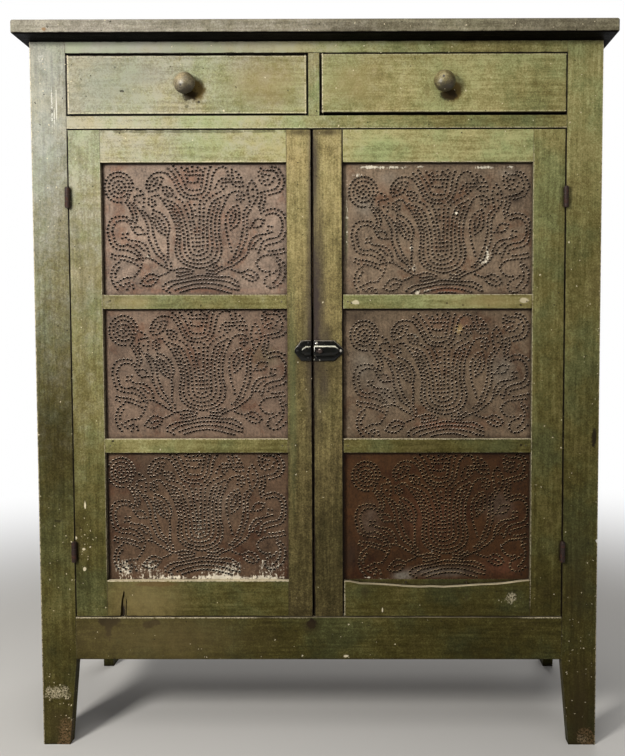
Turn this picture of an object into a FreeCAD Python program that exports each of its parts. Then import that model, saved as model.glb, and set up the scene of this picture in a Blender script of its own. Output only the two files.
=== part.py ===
import FreeCAD, Part
import math
import os

# A painted pie safe: a cupboard on legs with two tin-panelled doors under two drawers.
# Millimetres. X runs to the right, Y to the back, Z up. The origin is on the floor,
# under the middle of the top.

# ---- the case ----
case_width = 1016.0
case_depth = 406.0
leg_height = 160.0
bottom_rail_height = 78.0
door_opening_height = 883.0
middle_rail_height = 23.0
drawer_opening_height = 109.0
top_rail_height = 21.0
frame_thickness = 22.0
post_width = 63.5
foot_taper = 14.5
end_front_stile_width = 45.0
end_rail_height = 90.0
end_middle_rail_height = 70.0
end_panel_thickness = 8.0
panel_groove_depth = 8.0
back_thickness = 12.0
back_rebate_width = 10.0
back_board_count = 6
back_board_gap = 1.0
rear_shelf_rail_height = 60.0
rear_drawer_rail_height = 35.0
rear_top_rail_height = 45.0

# ---- the top ----
top_thickness = 24.0
top_side_overhang = 16.0
top_front_overhang = 44.0
top_edge_radius = 4.0

# ---- joinery ----
fit_clearance = 0.1
panel_edge_gap = 0.5
tenon_thickness = 8.0
tenon_length = 38.0
narrow_shoulder = 4.0
wide_shoulder = 9.0
end_tenon_length = 25.0
rear_tenon_length = 14.0
divider_tenon_length = 7.0

# ---- floor and shelves ----
floor_thickness = 19.0
floor_board_count = 3
floor_board_gap = 0.5
shelf_thickness = 19.0
lower_shelf_top = 558.0
upper_shelf_top = 815.0
shelf_setback = 20.0
shelf_side_gap = 1.0
cleat_size = 20.0

# ---- drawer divider and slides ----
divider_center = -4.25
divider_width = 20.5
runner_overlap = 20.0
guide_height = 25.0
drawer_rise = 3.0
running_gap = 0.3

# ---- drawers ----
drawer_rear_gap = 39.0
drawer_side_height = 98.0
drawer_side_thickness = 12.0
drawer_bottom_thickness = 6.0
drawer_bottom_height = 8.0
drawer_groove_depth = 6.0
drawer_back_inset = 8.0
drawer_dado_depth = 4.0
drawer_end_gap = 1.0
drawer_divider_gap = 2.4
left_drawer_front_height = 103.0
right_drawer_front_height = 103.5
right_drawer_front_rise = 1.5
right_drawer_proud = 1.5
dovetail_count = 3
dovetail_length = 14.0
dovetail_narrow = 18.0
dovetail_wide = 24.0
knob_diameter = 38.0
knob_projection = 31.0
knob_neck_radius = 8.5
knob_base_radius = 10.5
knob_dowel_radius = 6.0
knob_drop = 2.0
knob_rim_share = 0.63
knob_flare_share = 0.47

# ---- doors ----
door_gap = 1.5
door_end_gap = 2.0
meeting_line = -8.5
meeting_gap = 3.0
hinge_stile_width = 57.0
left_meeting_stile_width = 44.0
right_meeting_stile_width = 52.0
door_top_rail_height = 57.0
door_bottom_rail_height = 66.0
door_bar_height = 25.0
door_lip = 10.0
tin_lap = 9.0
tin_thickness = 0.6
door_tenon_length = 30.0
bar_tenon_length = 12.0
bar_tenon_thickness = 6.0
door_stop_length = 60.0
door_stop_size = 14.0

# ---- hinges ----
hinge_height = 36.0
hinge_from_door_end = 120.0
hinge_barrel_radius = 4.5
hinge_pin_radius = 2.2
hinge_pin_clearance = 0.05
hinge_pin_head_radius = 3.4
hinge_pin_head_height = 1.5
hinge_leaf_thickness = 1.7
hinge_leaf_width = 16.0
hinge_leaf_gap = 0.1
hinge_barrel_stand_off = 0.4
knuckle_gap = 0.3
knuckle_count = 3

# ---- latch ----
latch_height = 726.0
latch_plate_thickness = 3.0
latch_half_height = 18.5
latch_square_length = 37.0
latch_point_length = 17.0
latch_point_half_height = 3.0
keeper_square_length = 18.5
keeper_point_length = 12.0
latch_edge_gap = 0.3
latch_box_depth = 11.0
latch_box_half_height = 9.5
latch_box_length = 39.0
latch_wall = 2.7
latch_box_radius = 2.5
bolt_half_height = 4.0
bolt_thickness = 4.5
bolt_travel = 7.0
bolt_length = 26.0
bolt_clearance = 0.3
bolt_stem_radius = 2.0
bolt_stem_from_end = 12.5
bolt_knob_radius = 4.5
bolt_knob_height = 5.5

# ---- fasteners ----
screw_head_radius = 2.8
screw_shank_radius = 1.4
screw_length = 14.0
screw_spread = 11.0
latch_screw_radius = 2.6
latch_screw_length = 11.0
latch_screw_offset = 13.5
latch_screw_margin = 3.0
nail_head_radius = 2.4
nail_head_thickness = 1.0
nail_shank_radius = 1.4
back_nail_length = 26.0
top_nail_length = 46.0
back_nail_inset = 18.0
top_nail_inset = 90.0
end_nail_inset = 40.0
top_nails_across = 4
tack_head_radius = 3.0
tack_head_thickness = 0.8
tack_shank_radius = 0.8
tack_length = 8.0
tacks_along_width = 4
tacks_along_height = 3
brad_radius = 1.1
brad_length = 7.0
brad_from_end = 10.0
brad_proud = 0.2
hole_clearance = 0.05

# ---- levels and planes that follow from the sizes ----
opening_bottom = leg_height + bottom_rail_height
opening_top = opening_bottom + door_opening_height
drawer_base = opening_top + middle_rail_height
drawer_ceiling = drawer_base + drawer_opening_height
case_top = drawer_ceiling + top_rail_height
half_width = case_width / 2
opening_half = half_width - post_width
inner_half = half_width - frame_thickness
front_y = -(case_depth + top_front_overhang) / 2 + top_front_overhang
back_y = front_y + case_depth
frame_back_y = front_y + frame_thickness
boards_front_y = back_y - back_thickness
rear_rail_y = boards_front_y - frame_thickness
end_stile_y = frame_back_y + end_front_stile_width
rear_stile_y = back_y - post_width
divider_left = divider_center - divider_width / 2
divider_right = divider_center + divider_width / 2
runner_top = drawer_base + drawer_rise - running_gap
door_bottom = opening_bottom + door_end_gap
door_top = opening_top - door_end_gap
door_hinge_edge = opening_half - door_gap
sight_bottom = door_bottom + door_bottom_rail_height
sight_top = door_top - door_top_rail_height
sight_height = (sight_top - sight_bottom - 2 * door_bar_height) / 3
hinge_x = opening_half - door_gap / 2
hinge_y = front_y - hinge_barrel_radius - hinge_barrel_stand_off
hinge_levels = [door_bottom + hinge_from_door_end, door_top - hinge_from_door_end]


# ---- small shape helpers ----

def vector(x, y, z):
    return FreeCAD.Vector(x, y, z)


def block(x0, x1, y0, y1, z0, z1):
    return Part.makeBox(x1 - x0, y1 - y0, z1 - z0, vector(x0, y0, z0))


def grown_block(x0, x1, y0, y1, z0, z1, margin):
    return block(x0 - margin, x1 + margin, y0 - margin, y1 + margin, z0 - margin, z1 + margin)


def prism(corners, direction):
    wire = Part.makePolygon(corners + corners[:1])
    return Part.Face(wire).extrude(direction)


def front_prism(outline, y0, y1):
    # An outline of (x, z) points, as deep as y0 to y1.
    return prism([vector(x, y0, z) for x, z in outline], vector(0, y1 - y0, 0))


def end_prism(outline, x0, x1):
    # An outline of (y, z) points, as wide as x0 to x1.
    return prism([vector(x0, y, z) for y, z in outline], vector(x1 - x0, 0, 0))


def mirrored(shape):
    return shape.mirror(vector(0, 0, 0), vector(1, 0, 0))


def joined(shapes):
    whole = shapes[0]
    for shape in shapes[1:]:
        whole = whole.fuse(shape)
    return whole.removeSplitter()


def without(shape, cutters):
    return shape.cut(Part.makeCompound(cutters))


def level_list(start, end, count):
    step = (end - start) / (count - 1)
    return [start + step * index for index in range(count)]


# ---- fasteners: each is a head and a shank that runs along a direction ----

def headed_pin(point, direction, head_radius, head_thickness, shank_radius, length, margin=0.0):
    head = Part.makeCylinder(head_radius + margin, head_thickness, point, direction)
    shank = Part.makeCylinder(shank_radius + margin, length + margin, point, direction)
    return head.fuse(shank).removeSplitter()


def flat_screw(point, direction, margin=0.0):
    cone = Part.makeCone(screw_head_radius + margin, screw_shank_radius + margin,
                         hinge_leaf_thickness, point, direction)
    shank = Part.makeCylinder(screw_shank_radius + margin, screw_length + margin, point, direction)
    return cone.fuse(shank).removeSplitter()


def latch_screw(point, margin=0.0):
    # A round-headed screw: the head is a low dome that stands on the latch plate.
    into_door = vector(0, 1, 0)
    shank = Part.makeCylinder(screw_shank_radius + margin, latch_screw_length + margin,
                              point, into_door)
    dome_height = latch_screw_radius / 2
    sphere_radius = (latch_screw_radius ** 2 + dome_height ** 2) / (2 * dome_height)
    sphere = Part.makeSphere(sphere_radius, point + vector(0, sphere_radius - dome_height, 0))
    reach = 2 * latch_screw_radius
    head = sphere.common(block(point.x - reach, point.x + reach, point.y - reach, point.y,
                               point.z - reach, point.z + reach))
    return head.fuse(shank).removeSplitter()


def nails(points, direction, length, margin=0.0):
    return [headed_pin(point, direction, nail_head_radius, nail_head_thickness,
                       nail_shank_radius, length, margin) for point in points]


def top_nail_points():
    front_line = front_y + frame_thickness / 2
    rear_line = rear_rail_y + frame_thickness / 2
    side_line = half_width - frame_thickness / 2
    across = level_list(-opening_half + top_nail_inset, opening_half - top_nail_inset, top_nails_across)
    points = [vector(x, y, case_top + top_thickness) for y in (front_line, rear_line) for x in across]
    end_lines = (end_stile_y + end_nail_inset, rear_stile_y - end_nail_inset)
    points += [vector(x, y, case_top + top_thickness) for y in end_lines for x in (-side_line, side_line)]
    return points


def rear_rail_levels():
    # Bottom and top of each rail across the back: floor, upper shelf, drawers and top.
    shelf_underside = upper_shelf_top - shelf_thickness
    return [
        (leg_height, opening_bottom),
        (shelf_underside - rear_shelf_rail_height, shelf_underside),
        (opening_top - rear_drawer_rail_height, opening_top),
        (case_top - rear_top_rail_height, case_top),
    ]


def back_board_edges():
    span = 2 * (inner_half + back_rebate_width) - back_board_gap
    pitch = span / back_board_count
    start = -span / 2
    half_gap = back_board_gap / 2
    return [(start + pitch * index + half_gap, start + pitch * (index + 1) - half_gap)
            for index in range(back_board_count)]


def back_nail_points():
    points = []
    for low, high in rear_rail_levels():
        level = (low + high) / 2
        for left, right in back_board_edges():
            # The outer boards' edges are in the stile rebates, so their nails stand further in.
            first = max(left + back_nail_inset, -inner_half + back_nail_inset)
            last = min(right - back_nail_inset, inner_half - back_nail_inset)
            points += [vector(first, back_y, level), vector(last, back_y, level)]
    return points


def nail_group(margin=0.0):
    top = nails(top_nail_points(), vector(0, 0, -1), top_nail_length, margin)
    back = nails(back_nail_points(), vector(0, -1, 0), back_nail_length, margin)
    return top, back


# ---- front frame ----

def front_rails():
    # Name, bottom, top and shoulder height of the three rails across the front.
    return [
        ("front_bottom_rail", leg_height, opening_bottom, wide_shoulder),
        ("front_middle_rail", opening_top, drawer_base, narrow_shoulder),
        ("front_top_rail", drawer_ceiling, case_top, narrow_shoulder),
    ]


def front_tenon(low, high, shoulder, margin=0.0):
    middle_y = front_y + frame_thickness / 2
    return grown_block(opening_half - margin, opening_half + tenon_length,
                       middle_y - tenon_thickness / 2, middle_y + tenon_thickness / 2,
                       low + shoulder, high - shoulder, margin)


def front_rail(low, high, shoulder):
    bar = block(-opening_half, opening_half, front_y, frame_back_y, low, high)
    tenon = front_tenon(low, high, shoulder)
    return joined([bar, tenon, mirrored(tenon)])


def divider_tenons(margin=0.0):
    middle_y = front_y + frame_thickness / 2
    inset = narrow_shoulder
    lower_end = drawer_base - divider_tenon_length
    upper_end = drawer_ceiling + divider_tenon_length
    return grown_block(divider_left + inset, divider_right - inset,
                       middle_y - tenon_thickness / 2, middle_y + tenon_thickness / 2,
                       lower_end, upper_end, margin)


def drawer_divider():
    body = block(divider_left, divider_right, front_y, frame_back_y, drawer_base, drawer_ceiling)
    return joined([body, divider_tenons()])


def case_leaf_pocket(level):
    # The shallow mortise in a post's edge that one hinge leaf lies in.
    half = hinge_height / 2
    leaf_face = hinge_x + hinge_leaf_gap / 2
    return block(opening_half - 1, leaf_face + hinge_leaf_thickness + fit_clearance,
                 front_y - 1, front_y + hinge_leaf_width + fit_clearance,
                 level - half - fit_clearance, level + half + fit_clearance)


def front_post():
    outline = [(half_width, 0), (half_width, case_top), (opening_half, case_top),
               (opening_half, leg_height), (opening_half + foot_taper, 0)]
    post = front_prism(outline, front_y, frame_back_y)
    cutters = [front_tenon(low, high, shoulder, fit_clearance)
               for name, low, high, shoulder in front_rails()]
    cutters += [case_leaf_pocket(level) for level in hinge_levels]
    cutters += case_screws(hole_clearance)
    return without(post, cutters)


# ---- end frames: two stiles, three rails and two panels on each side ----

def end_rail_levels():
    middle = (leg_height + case_top) / 2
    return [
        (leg_height, leg_height + end_rail_height),
        (middle - end_middle_rail_height / 2, middle + end_middle_rail_height / 2),
        (case_top - end_rail_height, case_top),
    ]


def end_tenons(low, high, margin=0.0):
    middle_x = half_width - frame_thickness / 2
    return grown_block(middle_x - tenon_thickness / 2, middle_x + tenon_thickness / 2,
                       end_stile_y - end_tenon_length, rear_stile_y + end_tenon_length,
                       low + wide_shoulder, high - wide_shoulder, margin)


def end_panel_spaces():
    levels = end_rail_levels()
    return [(levels[0][1], levels[1][0]), (levels[1][1], levels[2][0])]


def end_groove(low, high):
    middle_x = half_width - frame_thickness / 2
    half = end_panel_thickness / 2 + fit_clearance
    return block(middle_x - half, middle_x + half,
                 end_stile_y - panel_groove_depth, rear_stile_y + panel_groove_depth,
                 low - panel_groove_depth, high + panel_groove_depth)


def end_rails():
    grooves = [end_groove(low, high) for low, high in end_panel_spaces()]
    rails = []
    for low, high in end_rail_levels():
        bar = block(inner_half, half_width, end_stile_y, rear_stile_y, low, high)
        rail = without(bar, grooves)
        rails.append(joined([rail, end_tenons(low, high)]))
    rails[-1] = without(rails[-1], nail_group(hole_clearance)[0])
    return rails


def end_panels():
    middle_x = half_width - frame_thickness / 2
    half = end_panel_thickness / 2
    reach = panel_groove_depth - panel_edge_gap
    return [block(middle_x - half, middle_x + half, end_stile_y - reach, rear_stile_y + reach,
                  low - reach, high + reach) for low, high in end_panel_spaces()]


def end_stile_cutters():
    cutters = [end_tenons(low, high, fit_clearance) for low, high in end_rail_levels()]
    cutters += [end_groove(low, high) for low, high in end_panel_spaces()]
    return cutters


def end_front_stile():
    outline = [(frame_back_y, 0), (frame_back_y, case_top), (end_stile_y, case_top),
               (end_stile_y, leg_height), (end_stile_y - foot_taper, 0)]
    return without(end_prism(outline, inner_half, half_width), end_stile_cutters())


def rear_tenon(low, high, margin=0.0):
    middle_y = rear_rail_y + frame_thickness / 2
    return grown_block(inner_half - margin, inner_half + rear_tenon_length,
                       middle_y - tenon_thickness / 2, middle_y + tenon_thickness / 2,
                       low + wide_shoulder, high - wide_shoulder, margin)


def end_rear_stile():
    outline = [(back_y, 0), (back_y, case_top), (rear_stile_y, case_top),
               (rear_stile_y, leg_height), (rear_stile_y + foot_taper, 0)]
    rebate = block(inner_half - 1, inner_half + back_rebate_width, boards_front_y, back_y + 1,
                   leg_height, case_top)
    cutters = end_stile_cutters() + [rebate]
    cutters += [rear_tenon(low, high, fit_clearance) for low, high in rear_rail_levels()]
    return without(end_prism(outline, inner_half, half_width), cutters)


# ---- back ----

def rear_rails():
    top, back = nail_group(hole_clearance)
    rails = []
    for low, high in rear_rail_levels():
        bar = block(-inner_half, inner_half, rear_rail_y, boards_front_y, low, high)
        tenon = rear_tenon(low, high)
        rail = joined([bar, tenon, mirrored(tenon)])
        rails.append(without(rail, top + back))
    return rails


def back_boards():
    holes = nail_group(hole_clearance)[1]
    return [without(block(left, right, boards_front_y, back_y, leg_height, case_top), holes)
            for left, right in back_board_edges()]


# ---- top ----

def top_boards():
    # Two boards edge to edge: the front one has a rounded front edge and ends.
    left = -half_width - top_side_overhang
    right = half_width + top_side_overhang
    front = front_y - top_front_overhang
    high = case_top + top_thickness
    whole = block(left, right, front, back_y, case_top, high)
    edges = []
    for edge in whole.Edges:
        box = edge.BoundBox
        runs_back = box.YLength > 1
        runs_across = box.XLength > 1
        if box.YMin > back_y - 1:
            continue
        if runs_back or runs_across or box.ZLength > 1:
            edges.append(edge)
    whole = whole.makeFillet(top_edge_radius, edges)
    whole = without(whole, nail_group(hole_clearance)[0])
    seam = (front + back_y) / 2
    front_half = whole.common(block(left - 1, right + 1, front - 1, seam, case_top - 1, high + 1))
    rear_half = whole.common(block(left - 1, right + 1, seam, back_y + 1, case_top - 1, high + 1))
    return front_half, rear_half


# ---- floor, shelves and cleats ----

def floor_boards():
    span = rear_rail_y - frame_back_y
    pitch = span / floor_board_count
    reach = inner_half - shelf_side_gap
    boards = []
    for index in range(floor_board_count):
        start = frame_back_y + pitch * index
        end = start + pitch - floor_board_gap
        boards.append(block(-reach, reach, start, end, opening_bottom - floor_thickness,
                            opening_bottom))
    return boards


def shelf_levels():
    return [lower_shelf_top, upper_shelf_top]


def shelves():
    reach = inner_half - shelf_side_gap
    return [block(-reach, reach, frame_back_y + shelf_setback, boards_front_y - shelf_side_gap,
                  level - shelf_thickness, level) for level in shelf_levels()]


def shelf_cleats():
    cleats = []
    for level in shelf_levels():
        high = level - shelf_thickness
        side = block(inner_half - cleat_size, inner_half, frame_back_y + shelf_setback,
                     rear_rail_y, high - cleat_size, high)
        cleats += [side, mirrored(side)]
    high = opening_bottom - floor_thickness
    side = block(inner_half - cleat_size, inner_half, frame_back_y, rear_rail_y,
                 high - cleat_size, high)
    reach = inner_half - cleat_size
    front = block(-reach, reach, frame_back_y, frame_back_y + cleat_size, high - cleat_size, high)
    rear = block(-reach, reach, rear_rail_y - cleat_size, rear_rail_y, high - cleat_size, high)
    return cleats + [side, mirrored(side), front, rear]


# ---- drawer slides ----

def drawer_slides():
    # Runners carry the drawers, guides on them keep the drawers straight, and kickers above
    # stop an open drawer from tipping.
    side_low = opening_half - runner_overlap
    middle_low = divider_left - runner_overlap
    middle_high = divider_right + runner_overlap
    guide_top = runner_top + guide_height
    side_runner = block(side_low, inner_half, frame_back_y, boards_front_y, opening_top, runner_top)
    side_guide = block(opening_half, inner_half, frame_back_y, boards_front_y, runner_top, guide_top)
    side_kicker = block(side_low, inner_half, frame_back_y, rear_rail_y, drawer_ceiling, case_top)
    middle_runner = block(middle_low, middle_high, frame_back_y, boards_front_y,
                          opening_top, runner_top)
    middle_guide = block(divider_left, divider_right, frame_back_y, boards_front_y,
                         runner_top, guide_top)
    middle_kicker = block(middle_low, middle_high, frame_back_y, rear_rail_y,
                          drawer_ceiling, case_top)
    sides = [side_runner, side_guide, side_kicker]
    return sides + [mirrored(piece) for piece in sides] + [middle_runner, middle_guide, middle_kicker]


def door_stops():
    # Blocks behind the meeting of the doors, on the floor and under the middle runner.
    back_face = front_y + frame_thickness + running_gap
    left = meeting_line - door_stop_length / 2
    right = meeting_line + door_stop_length / 2
    lower = block(left, right, back_face, back_face + door_stop_size,
                  opening_bottom, opening_bottom + door_stop_size)
    upper = block(max(left, divider_left - runner_overlap), min(right, divider_right + runner_overlap),
                  back_face, back_face + door_stop_size, opening_top - door_stop_size, opening_top)
    return [lower, upper]


# ---- hinges: the right-hand side is modelled, and the left is its mirror image ----

def knuckle_levels(level, index):
    pitch = hinge_height / knuckle_count
    low = level - hinge_height / 2 + pitch * index
    return low + knuckle_gap / 2, low + pitch - knuckle_gap / 2


def knuckles(level, indexes):
    rings = []
    for index in indexes:
        low, high = knuckle_levels(level, index)
        rings.append(Part.makeCylinder(hinge_barrel_radius, high - low, vector(hinge_x, hinge_y, low)))
    return rings


def hinge_leaf(level, inner_face, outer_face, indexes, screws):
    # A plate in the gap between door and post, folded round the pin at its own knuckles.
    half = hinge_height / 2
    clear_y = hinge_y + hinge_barrel_radius + hinge_barrel_stand_off
    plate = block(inner_face, outer_face, clear_y, front_y + hinge_leaf_width, level - half, level + half)
    pieces = [plate]
    for index in indexes:
        low, high = knuckle_levels(level, index)
        pieces.append(block(inner_face, outer_face, hinge_y, clear_y, low, high))
    pieces += knuckles(level, indexes)
    bore = Part.makeCylinder(hinge_pin_radius + hinge_pin_clearance, hinge_height + 2,
                             vector(hinge_x, hinge_y, level - half - 1))
    return without(joined(pieces), [bore] + screws)


def case_screws(margin=0.0):
    face = hinge_x + hinge_leaf_gap / 2
    line = front_y + hinge_leaf_width / 2 + 1
    return [flat_screw(vector(face, line, level + offset), vector(1, 0, 0), margin)
            for level in hinge_levels for offset in (-screw_spread, screw_spread)]


def door_screws(margin=0.0):
    face = hinge_x - hinge_leaf_gap / 2
    line = front_y + hinge_leaf_width / 2 + 1
    return [flat_screw(vector(face, line, level + offset), vector(-1, 0, 0), margin)
            for level in hinge_levels for offset in (-screw_spread, screw_spread)]


def case_leaves():
    inner = hinge_x + hinge_leaf_gap / 2
    outer = inner + hinge_leaf_thickness
    outer_knuckles = range(0, knuckle_count, 2)
    return [hinge_leaf(level, inner, outer, outer_knuckles, case_screws()) for level in hinge_levels]


def door_leaves():
    outer = hinge_x - hinge_leaf_gap / 2
    inner = outer - hinge_leaf_thickness
    inner_knuckles = range(1, knuckle_count, 2)
    return [hinge_leaf(level, inner, outer, inner_knuckles, door_screws()) for level in hinge_levels]


def hinge_pins():
    pins = []
    for level in hinge_levels:
        low = knuckle_levels(level, 0)[0]
        high = knuckle_levels(level, knuckle_count - 1)[1]
        shank = Part.makeCylinder(hinge_pin_radius, high - low, vector(hinge_x, hinge_y, low))
        head = Part.makeCylinder(hinge_pin_head_radius, hinge_pin_head_height,
                                 vector(hinge_x, hinge_y, high))
        pins.append(joined([shank, head]))
    return pins


# ---- doors: modelled as the right-hand one, with its meeting edge at a given place ----

def sight_levels():
    pitch = sight_height + door_bar_height
    return [(sight_bottom + pitch * index, sight_bottom + pitch * index + sight_height)
            for index in range(3)]


def tin_recesses(sight_left, sight_right):
    # The rebate in the back of the door frame that each tin lies in.
    return [block(sight_left - tin_lap, sight_right + tin_lap, front_y + door_lip, frame_back_y + 1,
                  low - tin_lap, high + tin_lap) for low, high in sight_levels()]


def door_tenons(low, high, sight_left, sight_right, margin=0.0):
    middle_y = front_y + frame_thickness / 2
    return grown_block(sight_left - door_tenon_length, sight_right + door_tenon_length,
                       middle_y - tenon_thickness / 2, middle_y + tenon_thickness / 2,
                       low + 2 * wide_shoulder, high - wide_shoulder, margin)


def bar_tenons(low, high, sight_left, sight_right, margin=0.0):
    tenon_y = front_y + (door_lip - bar_tenon_thickness) / 2
    return grown_block(sight_left - bar_tenon_length, sight_right + bar_tenon_length,
                       tenon_y, tenon_y + bar_tenon_thickness,
                       low + narrow_shoulder, high - narrow_shoulder, margin)


def tack_points(sight_left, sight_right, low, high):
    line = tin_lap / 2
    points = []
    for x in level_list(sight_left + line, sight_right - line, tacks_along_width):
        points += [(x, low - line), (x, high + line)]
    for z in level_list(low + sight_height / 6, high - sight_height / 6, tacks_along_height):
        points += [(sight_left - line, z), (sight_right + line, z)]
    return points


def tin_tacks(sight_left, sight_right, margin=0.0):
    head_y = front_y + door_lip + tin_thickness + tack_head_thickness
    tacks = []
    for low, high in sight_levels():
        for x, z in tack_points(sight_left, sight_right, low, high):
            tacks.append(headed_pin(vector(x, head_y, z), vector(0, -1, 0), tack_head_radius,
                                    tack_head_thickness, tack_shank_radius, tack_length, margin))
    return tacks


def bar_levels():
    sights = sight_levels()
    return [(sights[0][1], sights[1][0]), (sights[1][1], sights[2][0])]


def bar_brads(sight_left, sight_right, margin=0.0):
    brads = []
    for low, high in bar_levels():
        for x in (sight_left + brad_from_end, sight_right - brad_from_end):
            brads.append(Part.makeCylinder(brad_radius + margin, brad_length + margin,
                                           vector(x, front_y - brad_proud, (low + high) / 2),
                                           vector(0, 1, 0)))
    return brads


def door_leaf_pocket(level):
    half = hinge_height / 2
    leaf_face = hinge_x - hinge_leaf_gap / 2 - hinge_leaf_thickness
    return block(leaf_face - fit_clearance, door_hinge_edge + 1,
                 front_y - 1, front_y + hinge_leaf_width + fit_clearance,
                 level - half - fit_clearance, level + half + fit_clearance)


def door_pieces(prefix, meeting_edge, meeting_stile_width, latch_screw_points):
    sight_left = meeting_edge + meeting_stile_width
    sight_right = door_hinge_edge - hinge_stile_width
    recesses = tin_recesses(sight_left, sight_right)
    tack_holes = tin_tacks(sight_left, sight_right, hole_clearance)
    rails = [(door_bottom, sight_bottom), (sight_top, door_top)]
    rail_mortises = [door_tenons(rails[0][0], rails[0][1], sight_left, sight_right, fit_clearance),
                     door_tenons(rails[1][0], rails[1][1], sight_left, sight_right, fit_clearance)]
    bar_mortises = [bar_tenons(low, high, sight_left, sight_right, fit_clearance)
                    for low, high in bar_levels()]
    shared = recesses + tack_holes + rail_mortises + bar_mortises
    latch_screws = [latch_screw(point) for point in latch_screw_points]
    latch_holes = [latch_screw(point, hole_clearance) for point in latch_screw_points]
    pockets = [door_leaf_pocket(level) for level in hinge_levels]
    hinge_stile = block(sight_right, door_hinge_edge, front_y, frame_back_y, door_bottom, door_top)
    meeting_stile = block(meeting_edge, sight_left, front_y, frame_back_y, door_bottom, door_top)
    pieces = {
        "hinge_stile": [without(hinge_stile, shared + pockets + door_screws(hole_clearance))],
        "meeting_stile": [without(meeting_stile, shared + latch_holes)],
    }
    for name, (low, high) in zip(["bottom_rail", "top_rail"], rails):
        bar = block(sight_left, sight_right, front_y, frame_back_y, low, high)
        bar = without(bar, recesses + tack_holes)
        pieces[name] = [joined([bar, door_tenons(low, high, sight_left, sight_right)])]
    bars = []
    for low, high in bar_levels():
        bar = block(sight_left, sight_right, front_y, frame_back_y, low, high)
        bar = joined([bar, bar_tenons(low, high, sight_left, sight_right)])
        bars.append(without(bar, recesses + tack_holes
                            + bar_brads(sight_left, sight_right, hole_clearance)))
    pieces["bars"] = bars
    edge = tin_lap - panel_edge_gap
    for name, (low, high) in zip(["lower_tin", "middle_tin", "upper_tin"], sight_levels()):
        sheet = block(sight_left - edge, sight_right + edge, front_y + door_lip,
                      front_y + door_lip + tin_thickness, low - edge, high + edge)
        pieces[name] = [without(sheet, tack_holes)]
    pieces["hinge_leaves"] = door_leaves()
    pieces["fixings"] = (door_screws() + tin_tacks(sight_left, sight_right)
                         + bar_brads(sight_left, sight_right) + latch_screws)
    return {prefix + "_door_" + name: shapes for name, shapes in pieces.items()}


# ---- latch: a sliding bolt in a cast case on the right door, and a keeper on the left ----

def latch_plate(start, square_length, point_length):
    # A flat plate with a blunt point at its far end.
    square_end = start + square_length
    tip = square_end + point_length
    outline = [(start, latch_height - latch_half_height),
               (square_end, latch_height - latch_half_height),
               (tip, latch_height - latch_point_half_height),
               (tip, latch_height + latch_point_half_height),
               (square_end, latch_height + latch_half_height),
               (start, latch_height + latch_half_height)]
    return front_prism(outline, front_y - latch_plate_thickness, front_y)


def latch_box(start, length):
    # The raised box on a plate, with its long front edges and its far end rounded.
    box = block(start, start + length, front_y - latch_box_depth, front_y,
                latch_height - latch_box_half_height, latch_height + latch_box_half_height)
    edges = []
    for edge in box.Edges:
        bounds = edge.BoundBox
        on_front = bounds.YMax < front_y - latch_box_depth + 1
        at_far_end = bounds.XMin > start + length - 1
        if (on_front and bounds.XMax > start + 1) or (at_far_end and bounds.YLength > 1):
            edges.append(edge)
    return box.makeFillet(latch_box_radius, edges)


def bolt_space(start, length):
    bolt_front = front_y - latch_box_depth + latch_wall
    half = bolt_half_height + bolt_clearance
    return block(start - 1, start + length, bolt_front,
                 bolt_front + bolt_thickness + 2 * bolt_clearance,
                 latch_height - half, latch_height + half)


def right_door_edge():
    return meeting_line + meeting_gap / 2


def left_door_edge():
    # Measured from the middle towards the left, as the left door is modelled mirrored.
    return -(meeting_line - meeting_gap / 2)


def bolt_stem_x():
    return right_door_edge() + latch_edge_gap + bolt_stem_from_end


def latch_case(screws):
    start = right_door_edge() + latch_edge_gap
    plate = latch_plate(start, latch_square_length, latch_point_length)
    box = latch_box(start, latch_box_length)
    space = bolt_space(start, bolt_length + 2 * bolt_clearance)
    slot_half = bolt_stem_radius + bolt_clearance
    slot = block(bolt_stem_x() - bolt_travel - slot_half, bolt_stem_x() + slot_half,
                 front_y - latch_box_depth - 1, front_y - latch_box_depth + latch_wall + 1,
                 latch_height - slot_half, latch_height + slot_half)
    return without(joined([plate, box]), [space, slot] + screws)


def latch_bolt():
    start = right_door_edge() + latch_edge_gap
    bolt_front = front_y - latch_box_depth + latch_wall + bolt_clearance
    bar = block(start, start + bolt_length, bolt_front, bolt_front + bolt_thickness,
                latch_height - bolt_half_height, latch_height + bolt_half_height)
    knob_back = front_y - latch_box_depth - bolt_clearance
    outwards = vector(0, -1, 0)
    stem = Part.makeCylinder(bolt_stem_radius, bolt_front + 1 - knob_back,
                             vector(bolt_stem_x(), bolt_front + 1, latch_height), outwards)
    knob = Part.makeCylinder(bolt_knob_radius, bolt_knob_height,
                             vector(bolt_stem_x(), knob_back, latch_height), outwards)
    rim = [edge for edge in knob.Edges if edge.BoundBox.YMax < knob_back - bolt_knob_height + 1]
    knob = knob.makeFillet(bolt_knob_radius / 2, rim)
    return joined([bar, stem, knob])


def latch_keeper(screws):
    start = left_door_edge() + latch_edge_gap
    plate = latch_plate(start, keeper_square_length, keeper_point_length)
    box = latch_box(start, keeper_square_length)
    space = bolt_space(start, keeper_square_length / 2)
    return without(joined([plate, box]), [space] + screws)


def plate_screw_points(start, square_length, point_length):
    face = front_y - latch_plate_thickness
    near = start + latch_screw_radius + latch_screw_margin
    tip = start + square_length + point_length - latch_screw_radius - latch_screw_margin
    return [vector(near, face, latch_height + latch_screw_offset),
            vector(near, face, latch_height - latch_screw_offset),
            vector(tip, face, latch_height)]


# ---- drawers ----

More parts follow.
